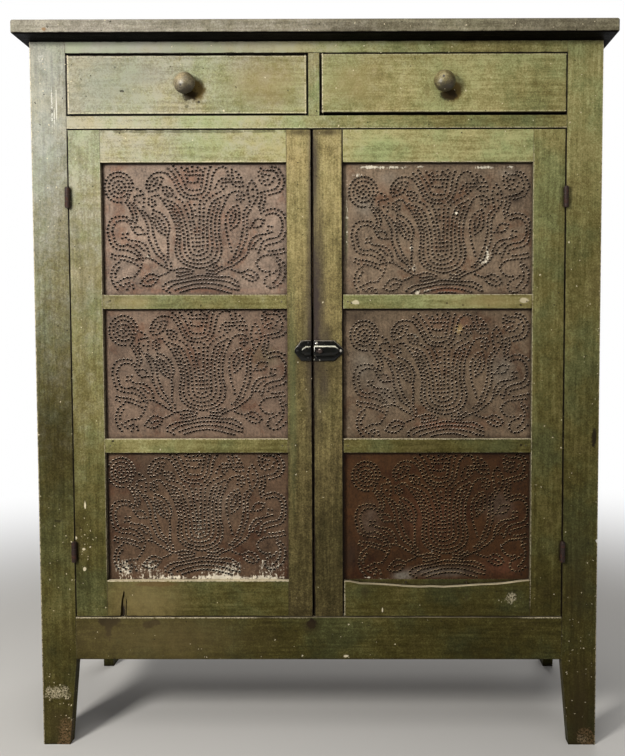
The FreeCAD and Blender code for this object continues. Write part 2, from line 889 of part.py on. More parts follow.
def dovetails(x0, x1, side_bottom, proud, margin=0.0):
    # The tails on the front end of a drawer side, which widen towards the drawer front's face.
    root_y = front_y - proud + frame_thickness
    tip_y = root_y - dovetail_length - margin
    pitch = drawer_side_height / dovetail_count
    tails = []
    for index in range(dovetail_count):
        middle = side_bottom + pitch * (index + 0.5)
        narrow = dovetail_narrow / 2 + margin
        wide = dovetail_wide / 2 + margin
        outline = [(root_y + margin, middle - narrow), (tip_y, middle - wide),
                   (tip_y, middle + wide), (root_y + margin, middle + narrow)]
        tails.append(end_prism(outline, x0 - margin, x1 + margin))
    return tails


def turned_knob(x, z, face_y):
    # A turned knob: a dowel through the drawer front, a neck that flares out to a rim, and a
    # domed head. The profile is drawn in X and Y and turned about the Y axis.
    radius = knob_diameter / 2
    rim_y = -knob_projection * knob_rim_share
    flare_y = -knob_projection * knob_flare_share
    flare_radius = (knob_neck_radius + radius) / 2
    dowel_end = frame_thickness - 2
    dome_height = knob_projection + rim_y
    dome_radius = (radius ** 2 + dome_height ** 2) / (2 * dome_height)
    half_angle = math.asin(radius / dome_radius) / 2

    def at(distance, along):
        return vector(distance, along, 0)

    dome_center_y = dome_radius - knob_projection
    dome_middle = at(dome_radius * math.sin(half_angle),
                     dome_center_y - dome_radius * math.cos(half_angle))
    edges = [
        Part.makeLine(at(0, dowel_end), at(knob_dowel_radius, dowel_end)),
        Part.makeLine(at(knob_dowel_radius, dowel_end), at(knob_dowel_radius, 0)),
        Part.makeLine(at(knob_dowel_radius, 0), at(knob_base_radius, 0)),
        Part.Arc(at(knob_base_radius, 0), at(knob_neck_radius, flare_y / 2),
                 at(flare_radius, flare_y)).toShape(),
        Part.Arc(at(flare_radius, flare_y), at(0.95 * radius, (flare_y + rim_y) / 2),
                 at(radius, rim_y)).toShape(),
        Part.Arc(at(radius, rim_y), dome_middle, at(0, -knob_projection)).toShape(),
        Part.makeLine(at(0, -knob_projection), at(0, dowel_end)),
    ]
    profile = Part.Face(Part.Wire(edges))
    knob = profile.revolve(vector(0, 0, 0), vector(0, 1, 0), 360)
    knob.translate(vector(x, face_y, z))
    return knob


def drawer_pieces(prefix, left, right, front_rise, front_height, proud):
    face_y = front_y - proud
    inside_y = face_y + frame_thickness
    end_y = boards_front_y - drawer_rear_gap
    side_bottom = drawer_base + drawer_rise
    side_top = side_bottom + drawer_side_height
    front_low = side_bottom + front_rise
    groove_low = side_bottom + drawer_bottom_height
    groove_high = groove_low + drawer_bottom_thickness
    back_front_y = end_y - drawer_back_inset - drawer_side_thickness
    inner_left = left + drawer_side_thickness
    inner_right = right - drawer_side_thickness

    groove = block(inner_left - drawer_groove_depth, inner_right + drawer_groove_depth,
                   inside_y - drawer_groove_depth, end_y + 1,
                   groove_low - fit_clearance, groove_high + fit_clearance)
    reach = drawer_groove_depth - panel_edge_gap
    bottom = block(inner_left - reach, inner_right + reach, inside_y - reach,
                   end_y - drawer_back_inset, groove_low, groove_high)

    dado = block(inner_left - drawer_dado_depth, inner_right + drawer_dado_depth,
                 back_front_y - fit_clearance, end_y - drawer_back_inset + fit_clearance,
                 groove_high, side_top + 1)
    dado_reach = drawer_dado_depth - fit_clearance
    back = block(inner_left - dado_reach, inner_right + dado_reach, back_front_y,
                 end_y - drawer_back_inset, groove_high + fit_clearance, side_top)

    sides = []
    for x0, x1 in ((left, inner_left), (inner_right, right)):
        body = block(x0, x1, inside_y, end_y, side_bottom, side_top)
        body = joined([body] + dovetails(x0, x1, side_bottom, proud))
        sides.append(without(body, [groove, dado]))

    knob_x = (left + right) / 2
    knob_z = front_low + front_height / 2 - knob_drop
    knob = turned_knob(knob_x, knob_z, face_y)
    knob_hole = Part.makeCylinder(knob_dowel_radius + hole_clearance, frame_thickness + 2,
                                  vector(knob_x, face_y - 1, knob_z), vector(0, 1, 0))
    front = block(left, right, face_y, inside_y, front_low, front_low + front_height)
    sockets = (dovetails(left, inner_left, side_bottom, proud, fit_clearance)
               + dovetails(inner_right, right, side_bottom, proud, fit_clearance))
    front = without(front, sockets + [groove, knob_hole])
    return {
        prefix + "_drawer_front": [front],
        prefix + "_drawer_sides": sides,
        prefix + "_drawer_back": [back],
        prefix + "_drawer_bottom": [bottom],
        prefix + "_drawer_knob": [knob],
    }


# ---- the whole piece ----

def case_parts():
    parts = {}
    top_nail_holes = nail_group(hole_clearance)[0]
    rail_cutters = [divider_tenons(fit_clearance)] + top_nail_holes
    for name, low, high, shoulder in front_rails():
        parts[name] = [without(front_rail(low, high, shoulder), rail_cutters)]
    parts["drawer_divider"] = [drawer_divider()]
    front_board, rear_board = top_boards()
    parts["top_front_board"] = [front_board]
    parts["top_rear_board"] = [rear_board]
    right_pieces = {
        "front_{}_post": [front_post()],
        "{}_end_front_stile": [end_front_stile()],
        "{}_end_rear_stile": [end_rear_stile()],
        "{}_end_rails": end_rails(),
        "{}_end_panels": end_panels(),
    }
    for pattern, shapes in right_pieces.items():
        parts[pattern.format("right")] = shapes
        parts[pattern.format("left")] = [mirrored(shape) for shape in shapes]
    parts["rear_rails"] = rear_rails()
    parts["back_boards"] = back_boards()
    top_nails, back_nails = nail_group()
    parts["case_nails"] = top_nails + back_nails
    parts["floor_boards"] = floor_boards()
    parts["shelves"] = shelves()
    parts["shelf_cleats"] = shelf_cleats()
    parts["drawer_slides"] = drawer_slides()
    parts["door_stops"] = door_stops()
    for name, shapes in (("case_hinge_leaves", case_leaves()), ("case_hinge_screws", case_screws()),
                         ("hinge_pins", hinge_pins())):
        parts[name] = shapes + [mirrored(shape) for shape in shapes]
    return parts


def door_parts():
    parts = {}
    case_points = plate_screw_points(right_door_edge() + latch_edge_gap, latch_square_length,
                                     latch_point_length)
    keeper_points = plate_screw_points(left_door_edge() + latch_edge_gap, keeper_square_length,
                                       keeper_point_length)
    parts.update(door_pieces("right", right_door_edge(), right_meeting_stile_width, case_points))
    left = door_pieces("left", left_door_edge(), left_meeting_stile_width, keeper_points)
    for name, shapes in left.items():
        parts[name] = [mirrored(shape) for shape in shapes]
    parts["latch_case"] = [latch_case([latch_screw(point, hole_clearance) for point in case_points])]
    parts["latch_bolt"] = [latch_bolt()]
    keeper = latch_keeper([latch_screw(point, hole_clearance) for point in keeper_points])
    parts["latch_keeper"] = [mirrored(keeper)]
    return parts


def drawer_parts():
    parts = {}
    parts.update(drawer_pieces("left", -opening_half + drawer_end_gap,
                               divider_left - drawer_divider_gap, 0.0, left_drawer_front_height, 0.0))
    parts.update(drawer_pieces("right", divider_right + drawer_divider_gap,
                               opening_half - drawer_end_gap, right_drawer_front_rise,
                               right_drawer_front_height, right_drawer_proud))
    return parts


def main():
    os.makedirs("parts", exist_ok=True)
    parts = {}
    parts.update(case_parts())
    parts.update(door_parts())
    parts.update(drawer_parts())
    for name, shapes in sorted(parts.items()):
        solids = [solid for shape in shapes for solid in shape.Solids]
        whole = solids[0] if len(solids) == 1 else Part.makeCompound(solids)
        whole.exportStep(os.path.join("parts", name + ".step"))
        print(name, len(solids), "solids", "valid" if whole.isValid() else "NOT VALID")
    print(len(parts), "nodes")


main()
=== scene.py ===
import math
import random

import bmesh
import bpy
from mathutils import Matrix, Vector


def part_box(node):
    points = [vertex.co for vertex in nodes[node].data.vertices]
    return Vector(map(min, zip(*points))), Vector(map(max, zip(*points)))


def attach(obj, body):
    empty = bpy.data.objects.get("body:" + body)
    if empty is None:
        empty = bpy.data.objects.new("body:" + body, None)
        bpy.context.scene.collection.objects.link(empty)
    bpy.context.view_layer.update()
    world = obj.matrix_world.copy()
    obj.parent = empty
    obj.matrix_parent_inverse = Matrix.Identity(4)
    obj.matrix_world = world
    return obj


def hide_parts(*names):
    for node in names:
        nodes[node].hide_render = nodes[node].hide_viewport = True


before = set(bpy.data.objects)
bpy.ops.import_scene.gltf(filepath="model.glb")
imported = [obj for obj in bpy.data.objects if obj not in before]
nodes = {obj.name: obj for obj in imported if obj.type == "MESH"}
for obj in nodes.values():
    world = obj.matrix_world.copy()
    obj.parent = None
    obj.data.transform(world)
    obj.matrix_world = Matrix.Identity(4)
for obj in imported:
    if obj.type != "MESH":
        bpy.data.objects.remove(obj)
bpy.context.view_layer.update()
scene = bpy.context.scene
print("frame loaded,", len(nodes), "CAD nodes")


# ---- camera, lamps and floor

viewSet = {
    "place": (0.0900, -1.7000, 0.7738),
    "turn": (87.118, 0.0858, 0.2363),      # degrees
    "lens": 40.2,
    "shift": (-0.0679, -0.0151),
}

camera = bpy.data.objects.new("camera", bpy.data.cameras.new("camera"))
scene.collection.objects.link(camera)
camera.location = viewSet["place"]
camera.rotation_euler = [math.radians(angle) for angle in viewSet["turn"]]
camera.data.lens = viewSet["lens"]
camera.data.shift_x, camera.data.shift_y = viewSet["shift"]
scene.camera = camera
scene.view_settings.view_transform = "Standard"

# place, aim, size, power and colour
lampSet = {
    "key": ((-1.15, -1.75, 1.43), (-0.3, -0.2, 0.95), 0.45, 45, (1.0, 0.985, 0.95)),
    "glint": ((-0.1, -1.35, 2.3), (0.0, -0.2, 0.7), 0.9, 10, (1.0, 0.99, 0.97)),
    "fill": ((1.8, -2.6, 1.4), (0.1, -0.2, 0.6), 2.0, 7.5, (0.97, 0.98, 1.0)),
    "back": ((0.6, 2.4, 2.4), (0, 0.2, 0.7), 2.0, 30, (1.0, 1.0, 1.0)),
}

for name, (place, aim, size, power, colour) in lampSet.items():
    light = bpy.data.lights.new(name, "AREA")
    light.shape = "SQUARE"
    light.size = size
    light.energy = power
    light.color = colour
    lamp = bpy.data.objects.new(name, light)
    lamp.location = place
    lamp.rotation_euler = (Vector(aim) - Vector(place)).to_track_quat("-Z", "Y").to_euler()
    scene.collection.objects.link(lamp)


def shaderNode(tree, kind, inputs=None, **settings):
    made = tree.nodes.new("ShaderNode" + kind)
    for key, value in settings.items():
        setattr(made, key, value)
    for key, value in (inputs or {}).items():
        if isinstance(value, bpy.types.NodeSocket):
            tree.links.new(value, made.inputs[key])
        else:
            made.inputs[key].default_value = value
    return made


def nodeFrom(kind, inputs, **settings):
    # a node in the tree that its inputs come from
    tree = next(value.id_data for value in inputs.values() if isinstance(value, bpy.types.NodeSocket))
    return shaderNode(tree, kind, inputs, **settings)


def spread(value, low, high, toLow=0.0, toHigh=1.0, kind="LINEAR"):
    made = nodeFrom("MapRange", {0: value, 1: low, 2: high, 3: toLow, 4: toHigh}, interpolation_type=kind)
    return made.outputs[0]


def soft(value, low, high, toLow=0.0, toHigh=1.0):
    return spread(value, low, high, toLow, toHigh, "SMOOTHSTEP")


def mixColour(factor, a, b, blend="MIX"):
    return nodeFrom("Mix", {0: factor, 6: a, 7: b}, data_type="RGBA", blend_type=blend).outputs[2]


roomSet = {
    "skyStrength": 0.21,
    "wallSeen": 1.0,         # the white room as the camera sees it, and as gloss does towards the back
    "frontSeen": 0.28,       # and as gloss does towards the front
    "turnOver": (-0.35, 0.25),
    "white": (1, 1, 1, 1),
    "floorSeen": (0.62, 0.60, 0.57, 1),
    "floorBounce": (0.16, 0.15, 0.14, 1),
    "floorFar": (0.9, 0.9, 0.9, 1),
    "floorHalf": 3.2,
    "fade": (0.9, 2.6),
}


def seenByEye(tree):
    path = shaderNode(tree, "LightPath").outputs
    eye = nodeFrom("Math", {0: path["Is Camera Ray"], 1: path["Is Glossy Ray"]}, operation="ADD").outputs[0]
    seen = nodeFrom("Math", {0: eye, 1: path["Is Transmission Ray"]}, operation="ADD", use_clamp=True)
    return seen.outputs[0]


def paleSky():
    world = bpy.data.worlds.new("room")
    scene.world = world
    world.use_nodes = True
    tree = world.node_tree
    tree.nodes.clear()
    way = shaderNode(tree, "SeparateXYZ", {0: shaderNode(tree, "TexCoord").outputs["Generated"]}).outputs["Y"]
    mirrored = spread(way, *roomSet["turnOver"], roomSet["frontSeen"], roomSet["wallSeen"])
    glossy = shaderNode(tree, "LightPath").outputs["Is Glossy Ray"]
    shown = nodeFrom("Mix", {0: glossy, 2: roomSet["wallSeen"], 3: mirrored}).outputs[0]
    strength = nodeFrom("Mix", {0: seenByEye(tree), 2: roomSet["skyStrength"], 3: shown}).outputs[0]
    sky = nodeFrom("Background", {"Color": roomSet["white"], "Strength": strength})
    nodeFrom("OutputWorld", {"Surface": sky.outputs[0]})


paleSky()


def floorFinish():
    finish = bpy.data.materials.new("floorFinish")
    finish.use_nodes = True
    tree = finish.node_tree
    shader = tree.nodes["Principled BSDF"]
    shader.inputs["Roughness"].default_value = 0.9
    shader.inputs["Specular IOR Level"].default_value = 0.1
    spot = shaderNode(tree, "TexCoord").outputs["Object"]
    far = nodeFrom("VectorMath", {0: spot}, operation="LENGTH").outputs["Value"]
    fade = soft(far, *roomSet["fade"])
    pale = mixColour(fade, roomSet["floorSeen"], roomSet["floorFar"])
    colour = mixColour(seenByEye(tree), roomSet["floorBounce"], pale)
    tree.links.new(colour, shader.inputs["Base Color"])
    # far off, the floor passes into the white of the room
    white = shaderNode(tree, "Emission", {"Color": roomSet["white"], "Strength": 1.0})
    mixed = nodeFrom("MixShader", {0: fade, 1: shader.outputs[0], 2: white.outputs[0]})
    tree.links.new(mixed.outputs[0], tree.nodes["Material Output"].inputs["Surface"])
    return finish


def makeFloor():
    bm = bmesh.new()
    bmesh.ops.create_grid(bm, x_segments=1, y_segments=1, size=roomSet["floorHalf"])
    mesh = bpy.data.meshes.new("floor")
    bm.to_mesh(mesh)
    bm.free()
    floor = bpy.data.objects.new("floor", mesh)
    mesh.materials.append(floorFinish())
    scene.collection.objects.link(floor)


makeFloor()
print("camera, lamps and floor set")


# ---- building blocks for the finishes

waveSpan = (0.3, 0.7)      # what nearly all of a noise lies between


def maths(operation, a, b=0.0, c=0.0, clamp=False):
    return nodeFrom("Math", {0: a, 1: b, 2: c}, operation=operation, use_clamp=clamp).outputs[0]


def plus(a, b):
    return maths("ADD", a, b)


def minus(a, b):
    return maths("SUBTRACT", a, b)


def times(a, b, clamp=False):
    return maths("MULTIPLY", a, b, clamp=clamp)


def timesPlus(a, b, c, clamp=False):
    return maths("MULTIPLY_ADD", a, b, c, clamp)


def swing(wave, low, high):
    return spread(wave, *waveSpan, low, high)


def noise(place, scale, detail=4.0, roughness=0.55, distortion=0.0):
    look = {"Vector": place, "Scale": scale, "Detail": detail, "Roughness": roughness, "Distortion": distortion}
    return nodeFrom("TexNoise", look).outputs["Fac"]


def mapped(place, scale=(1, 1, 1), location=(0, 0, 0)):
    return nodeFrom("Mapping", {"Vector": place, "Scale": scale, "Location": location}).outputs[0]


def shifted(place, seed, step):
    return mapped(place, location=[seed * part for part in step])


def darkened(colour, by):
    return mixColour(1.0, colour, by, "MULTIPLY")


def laidOver(colour, mask, strength, over):
    return mixColour(times(mask, strength), colour, over)


def ramp(value, stops):
    made = nodeFrom("ValToRGB", {0: value})
    band = made.color_ramp
    while len(band.elements) < len(stops):
        band.elements.new(0.5)
    for element, (place, colour) in zip(band.elements, stops):
        element.position = place
        element.color = (*colour, 1)
    return made.outputs[0]


def axesOf(vector):
    return nodeFrom("SeparateXYZ", {0: vector}).outputs


def objectPlace(tree):
    return shaderNode(tree, "TexCoord").outputs["Object"]


def trueNormal(tree):
    return shaderNode(tree, "NewGeometry").outputs["Normal"]


def roundedNormal(tree, radius):
    return shaderNode(tree, "Bevel", {"Radius": radius}, samples=4).outputs[0]


def openness(tree, reach):
    return shaderNode(tree, "AmbientOcclusion", {"Distance": reach}, samples=6).outputs["AO"]


def edgeOf(tree, radius, low=0.02, high=0.25):
    # how far the rounded normal leaves the true one, which it does only near an edge
    pair = {0: roundedNormal(tree, radius), 1: trueNormal(tree)}
    same = nodeFrom("VectorMath", pair, operation="DOT_PRODUCT").outputs["Value"]
    return spread(minus(1.0, same), low, high)


def specks(place, scale, share, size):
    cell = nodeFrom("TexVoronoi", {"Vector": place, "Scale": scale, "Randomness": 1.0}).outputs
    near = soft(cell["Distance"], size, size * 0.6)
    chosen = nodeFrom("SeparateColor", {0: cell["Color"]}).outputs[0]
    least = minus(1.0, share) if isinstance(share, bpy.types.NodeSocket) else 1.0 - share
    return times(near, maths("GREATER_THAN", chosen, least))


def spotAt(place, centre, reach, rough=None, ragged=0.35):
    # 1 at the centre and 0 from the reach on, with an edge made ragged by the noise in rough
    away = mapped(place, [1 / r for r in reach], [-c / r for c, r in zip(centre, reach)])
    far = nodeFrom("VectorMath", {0: away}, operation="LENGTH").outputs["Value"]
    if rough is None:
        return soft(far, 1.0, 0.0)
    return soft(plus(far, swing(rough, -ragged, ragged)), 1.0, 0.6)


def warped(place, scale, amount):
    # the same place, pushed about by noise, so that specks aren't round
    wave = nodeFrom("TexNoise", {"Vector": place, "Scale": scale, "Detail": 2.0}).outputs["Color"]
    push = nodeFrom("VectorMath", {0: wave, 1: (-0.5, -0.5, -0.5)}, operation="ADD").outputs[0]
    moved = {0: push, 1: (amount, amount, amount), 2: place}
    return nodeFrom("VectorMath", moved, operation="MULTIPLY_ADD").outputs[0]


def newFinish(name):
    finish = bpy.data.materials.new(name)
    finish.use_nodes = True
    return finish, finish.node_tree, finish.node_tree.nodes["Principled BSDF"]


def setShader(shader, colour, rough, gloss):
    shader.id_data.links.new(colour, shader.inputs["Base Color"])
    shader.id_data.links.new(rough, shader.inputs["Roughness"])
    shader.inputs["Specular IOR Level"].default_value = gloss


def addBump(shader, height, bump, rounding=None):
    strength, distance = bump
    tree = shader.id_data
    made = nodeFrom("Bump", {"Height": height, "Strength": strength, "Distance": distance})
    if rounding:
        tree.links.new(roundedNormal(tree, rounding), made.inputs["Normal"])
    tree.links.new(made.outputs[0], shader.inputs["Normal"])


alongGrain = {"x": (0.06, 1, 1), "y": (1, 0.06, 1), "z": (1, 1, 0.06)}

# what a painted board's own entry may change
usualPaint = {
    "grain": "x", "tone": 0.0, "mottle": 1.0, "pallor": 1.0, "sage": 0.45, "ochre": 0.3, "dirtAndShade": 0.95,
    "edge": 0.003, "worn": 0.6, "flecks": 0.012, "nicks": 0.05, "gloss": 0.09, "roughness": (0.42, 0.66),
    "front": -0.181, "underside": False, "blooms": (), "marks": (), "lines": (), "spatter": (),
}
# noises are given by scale, detail and roughness, and where they change the tone, by how much
paintSet = {
    "tones": [
        (0.00, (0.027, 0.021, 0.004)),
        (0.25, (0.056, 0.046, 0.010)),
        (0.50, (0.110, 0.093, 0.028)),
        (0.75, (0.200, 0.178, 0.068)),
        (1.00, (0.330, 0.305, 0.140)),
    ],
    # the paint is paler with height and towards the left: partly painted light falling off from the upper left,
    # partly dirt lower down
    "start": 0.140,        # how pale the paint is at the floor
    "rise": 0.577,         # paler with height
    "lean": -0.171,        # and towards the left
    "waves": ((5, 3, 0.5, 0.11), (55, 6, 0.7, 0.14), (170, 4, 0.7, 0.14), (330, 6, 0.8, 0.25)),
    "hueWave": (9, 5, 0.65),
    "hueAway": (4, 7, 1),
    "seedStep": (1.7, 0.9, 2.3),
    "paleTowardsLight": (0.75, 1.45, 0.75),      # painted sheen and light towards the upper left: where it begins and ends, and how pale it makes the paint
    "pallor": (0.97, 0.93, 0.80, 1),
    "lift": {"sage": 9.0, "ochre": 4.6},      # brings these colours up to the paint's own brightness
    "bump": (0.6, 0.001),
    "rounding": 0.0012,
    "grimeAndShadeReach": 0.014,
    "revealDeep": 0.0015,
    "bloomDeep": (-0.18, 0.3),      # y, and how far to each side of it
    "markDeep": 0.02,
    "spatterDeep": 0.1,
    "nickAway": (3, 3, 3),
    "joinEnd": 0.03,       # in which a line of dirt or wear dies out
    "ledgeDustAndLight": (0.720, 0.600, 0.390, 1),
    "underside": (0.0015, 0.001, 0.001, 1),
    "ragged": (260, 0.006),
    "flecks": (200, 0.26),      # how many to a metre and how large
    "nicks": (120, 0.19),
    "speckStrength": 0.85,
}

paintColours = {
    "sage": (0.080, 0.101, 0.042, 1),
    "ochre": (0.230, 0.172, 0.070, 1),
    "stone": (0.215, 0.190, 0.160, 1),
    # painted sheen: a pale bluish tone laid where the paint catches the light at the upper left
    "mist": (0.300, 0.340, 0.310, 1),
    "umber": (0.120, 0.088, 0.046, 1),
    "cream": (0.660, 0.570, 0.390, 1),
    "chalk": (0.700, 0.680, 0.620, 1),
    # a near black, for dirt and for painted shade
    "grimeAndShade": (0.010, 0.006, 0.003, 1),
    "plum": (0.034, 0.024, 0.023, 1),
    "shade": (0.030, 0.020, 0.008, 1),
    "bare": (0.200, 0.120, 0.060, 1),
    "ghost": (0.088, 0.058, 0.014, 1),
    "rust": (0.110, 0.042, 0.018, 1),
}
paintStains = ("plum", "ochre", "shade", "sage", "mist")      # these fade out softly, the others end ragged
paintChips = ("cream", "bare", "chalk")      # these are broken up, if they are large
largeChip = 0.00005      # half width times half height


def paintTone(look, place, moved, grain):
    xyz = axesOf(place)
    tone = timesPlus(xyz["Z"], paintSet["rise"], paintSet["start"] + look["tone"])
    tone = timesPlus(xyz["X"], paintSet["lean"], tone)
    waves = []
    for at, (*kind, weight) in zip((moved, moved, grain, moved), paintSet["waves"]):
        waves.append(noise(at, *kind))
        weight *= look["mottle"]
        tone = plus(tone, swing(waves[-1], -weight, weight))
    y, deep = paintSet["bloomDeep"]
    for x, z, halfWide, halfHigh, amount in look["blooms"]:
        tone = timesPlus(spotAt(place, (x, y, z), (halfWide, deep, halfHigh)), amount, tone)
    return tone, waves, xyz


def paintMarks(look, place, colour, blotch, fine):
    # stains, scrapes and bare places on the front, with some painted shade, shadow and sheen: colour, x, z, half
    # width, half height, strength
    for kind, x, z, halfWide, halfHigh, strength in look["marks"]:
        centre = (x, look["front"], z)
        reach = (halfWide, paintSet["markDeep"], halfHigh)
        if kind in paintStains:
            mark = times(spotAt(place, centre, reach), swing(blotch, 0.7, 1.3), clamp=True)
        else:
            mark = spotAt(place, centre, reach, blotch, 0.15 if kind == "ghost" else 0.5)
        if kind in paintChips and halfWide * halfHigh > largeChip:
            mark = times(mark, soft(fine, 0.46, 0.54))
        colour = laidOver(colour, mark, strength, paintColours[kind])
    return colour


def paintLines(look, xyz, colour, blotch, fine):
    # dirt and painted shade in the open joints, and worn paint and painted highlights along the arrises: colour,
    # axis, place, half width, strength, and where the line starts and ends if it isn't as long as the board
    wave = swing(blotch, 0.6, 1.4)
    for kind, axis, at, half, strength, *ends in look["lines"]:
        off = maths("ABSOLUTE", minus(xyz[axis], at))
        line = soft(times(off, wave), half, half * 0.5, 0.0, strength)
        if kind != "grimeAndShade":
            line = times(line, soft(fine, 0.40, 0.56))
        for end, inward in zip(ends, (1, -1)):
            along = xyz["Z" if axis == "X" else "X"]
            line = times(line, soft(along, end, end + inward * paintSet["joinEnd"]))
        colour = mixColour(line, colour, paintColours[kind])
    return colour


def paintHues(look, moved, colour, xyz, blotch):
    light = nodeFrom("SeparateColor", {0: colour}, mode="HSV").outputs[2]
    low, high, most = paintSet["paleTowardsLight"]
    # painted sheen and light: the paint turns paler and greyer towards the upper left, where the lamp's light
    # falls
    towardsLight = timesPlus(xyz["X"], -0.9, times(xyz["Z"], 0.8))
    towardsLight = plus(towardsLight, swing(blotch, -0.22, 0.22))
    pallor = soft(towardsLight, low, high, 0.0, most * look["pallor"])
    colour = mixColour(pallor, colour, darkened(paintSet["pallor"], light))
    hue = noise(mapped(moved, location=paintSet["hueAway"]), *paintSet["hueWave"])
    for kind, low, high in (("sage", 0.44, 0.66), ("ochre", 0.50, 0.30)):
        tinted = darkened(paintColours[kind], times(light, paintSet["lift"][kind]))
        colour = laidOver(colour, soft(hue, low, high), look[kind], tinted)
    if "tint" in look:
        kind, amount = look["tint"]
        tint = darkened(paintColours[kind], times(light, 1 / max(paintColours[kind][:3])))
        colour = mixColour(spread(hue, 0.2, 0.8, amount + 0.15, amount - 0.15), colour, tint)
    return colour, light


def paintDirtAndShade(tree, look, xyz, normal):
    # dirt has settled in the corners, darkened more as painted shade, and the sides of the openings are painted
    # dark as shade
    dirtAndShade = times(soft(openness(tree, paintSet["grimeAndShadeReach"]), 0.97, 0.40), look["dirtAndShade"])
    if "reveal" in look:
        behind = soft(xyz["Y"], look["reveal"], look["reveal"] + paintSet["revealDeep"])
        turned = maths("MAXIMUM", maths("ABSOLUTE", normal["X"]), times(normal["Z"], -1.0))
        dirtAndShade = maths("MAXIMUM", dirtAndShade, times(behind, soft(turned, 0.5, 0.7, 0.0, 0.7)))
    return dirtAndShade


def paintSpecks(look, place, moved, colour):
    # pale flecks, thicker where paint has spattered, and dark nicks
    ragged = warped(moved, *paintSet["ragged"])
    share = look["flecks"]
    for x, z, halfWide, halfHigh, amount in look["spatter"]:
        heap = spotAt(place, (x, usualPaint["front"], z), (halfWide, paintSet["spatterDeep"], halfHigh))
        share = timesPlus(heap, amount, share)
    scale, size = paintSet["flecks"]
    pale = specks(ragged, scale, share, size)
    colour = laidOver(colour, pale, paintSet["speckStrength"], paintColours["cream"])
    scale, size = paintSet["nicks"]
    nick = specks(mapped(ragged, location=paintSet["nickAway"]), scale, look["nicks"], size)
    return laidOver(colour, nick, paintSet["speckStrength"], paintColours["grimeAndShade"]), pale, nick


def paintFinish(name, look):
    finish, tree, shader = newFinish(name)
    place, normal = objectPlace(tree), axesOf(trueNormal(tree))
    moved = shifted(place, look["seed"], paintSet["seedStep"])
    tone, waves, xyz = paintTone(look, place, moved, mapped(moved, alongGrain[look["grain"]]))
    blotch, streak, fine = waves[1:]
    colour, light = paintHues(look, moved, ramp(tone, paintSet["tones"]), xyz, blotch)
    # handling has rubbed the edges
    edge = times(edgeOf(tree, look["edge"]), soft(fine, 0.40, 0.60))
    edge = times(edge, soft(blotch, 0.38, 0.60))
    worn = darkened(paintColours["cream"], timesPlus(light, 1.6, 0.15))
    colour = laidOver(colour, edge, look["worn"], worn)
    dirtAndShade = paintDirtAndShade(tree, look, xyz, normal)
    if "ledge" in look:
        # dust and bare wood on the faces that look up, with painted light where the lamps catch them
        up = times(soft(normal["Z"], 0.6, 0.9), spread(streak, 0.35, 0.6, 0.45, 1.0), clamp=True)
        colour = laidOver(colour, up, look["ledge"], paintSet["ledgeDustAndLight"])
        dirtAndShade = times(dirtAndShade, minus(1.0, times(up, 0.8)))
    colour = mixColour(dirtAndShade, colour, paintColours["grimeAndShade"])
    colour = paintMarks(look, place, colour, blotch, fine)
    colour = paintLines(look, xyz, colour, blotch, fine)
    colour, pale, nick = paintSpecks(look, place, moved, colour)
    # painted shade, with grime: faces that look down, such as the top's underside, turn near black
    if look["underside"]:
        colour = mixColour(soft(normal["Z"], -0.3, -0.8), colour, paintSet["underside"])
    rough = spread(plus(streak, blotch), 0.7, 1.3, *look["roughness"])
    setShader(shader, colour, timesPlus(dirtAndShade, 0.35, rough, clamp=True), look["gloss"])
    height = timesPlus(streak, 0.6, times(fine, 0.5))
    height = timesPlus(pale, 0.5, timesPlus(nick, -0.8, height))
    addBump(shader, height, paintSet["bump"], paintSet["rounding"])
    return finish


woodSet = {
    "tones": [(0.0, (0.042, 0.024, 0.012)), (0.45, (0.110, 0.062, 0.030)), (1.0, (0.200, 0.122, 0.060))],
    "grey": (0.095, 0.080, 0.062, 1),
    "worn": (0.240, 0.165, 0.095, 1),
    "soot": (0.008, 0.005, 0.003, 1),
    "sootAndShadeReach": 0.02,
    "ringWave": (26, 3, 0.5, 0.6),
    "ringCount": 7.0,
    "hairWave": (420, 4, 0.65),
    "stainWave": (6, 5, 0.6),
    "seedStep": (1.3, 2.1, 0.7),
    "bump": (0.5, 0.0007),
    "backBoards": (6, 0.16517),       # how many and how far apart
}


def woodFinish(name, look):
    finish, tree, shader = newFinish(name)
    place = objectPlace(tree)
    moved = shifted(place, look["seed"], woodSet["seedStep"])
    grain = mapped(moved, alongGrain[look["grain"]])
    rings = maths("FRACT", times(noise(grain, *woodSet["ringWave"]), woodSet["ringCount"]))
    rings = maths("PINGPONG", rings, 0.5)
    hair = noise(grain, *woodSet["hairWave"])
    stain = noise(moved, *woodSet["stainWave"])
    tone = timesPlus(rings, 0.7, timesPlus(hair, 0.5, times(stain, 0.55)))
    if "boards" in look:
        # each board has aged in its own way
        count, pitch = look["boards"]
        board = maths("FLOOR", timesPlus(axesOf(place)["X"], 1 / pitch, count / 2))
        age = nodeFrom("TexWhiteNoise", {"W": board}, noise_dimensions="1D").outputs["Value"]
        tone = plus(tone, spread(age, 0, 1, -0.22, 0.12))
    colour = ramp(spread(tone, 0.25, 1.15), woodSet["tones"])
    colour = laidOver(colour, soft(stain, 0.4, 0.7), 0.45, woodSet["grey"])
    colour = laidOver(colour, edgeOf(tree, 0.003), 0.4, woodSet["worn"])
    # painted shade in the corners, with soot
    dirtAndShade = soft(openness(tree, woodSet["sootAndShadeReach"]), 0.95, 0.45, 0.0, 0.75)
    setShader(shader, mixColour(dirtAndShade, colour, woodSet["soot"]), swing(hair, 0.62, 0.85), 0.5)
    addBump(shader, timesPlus(rings, 0.4, hair), woodSet["bump"])
    return finish


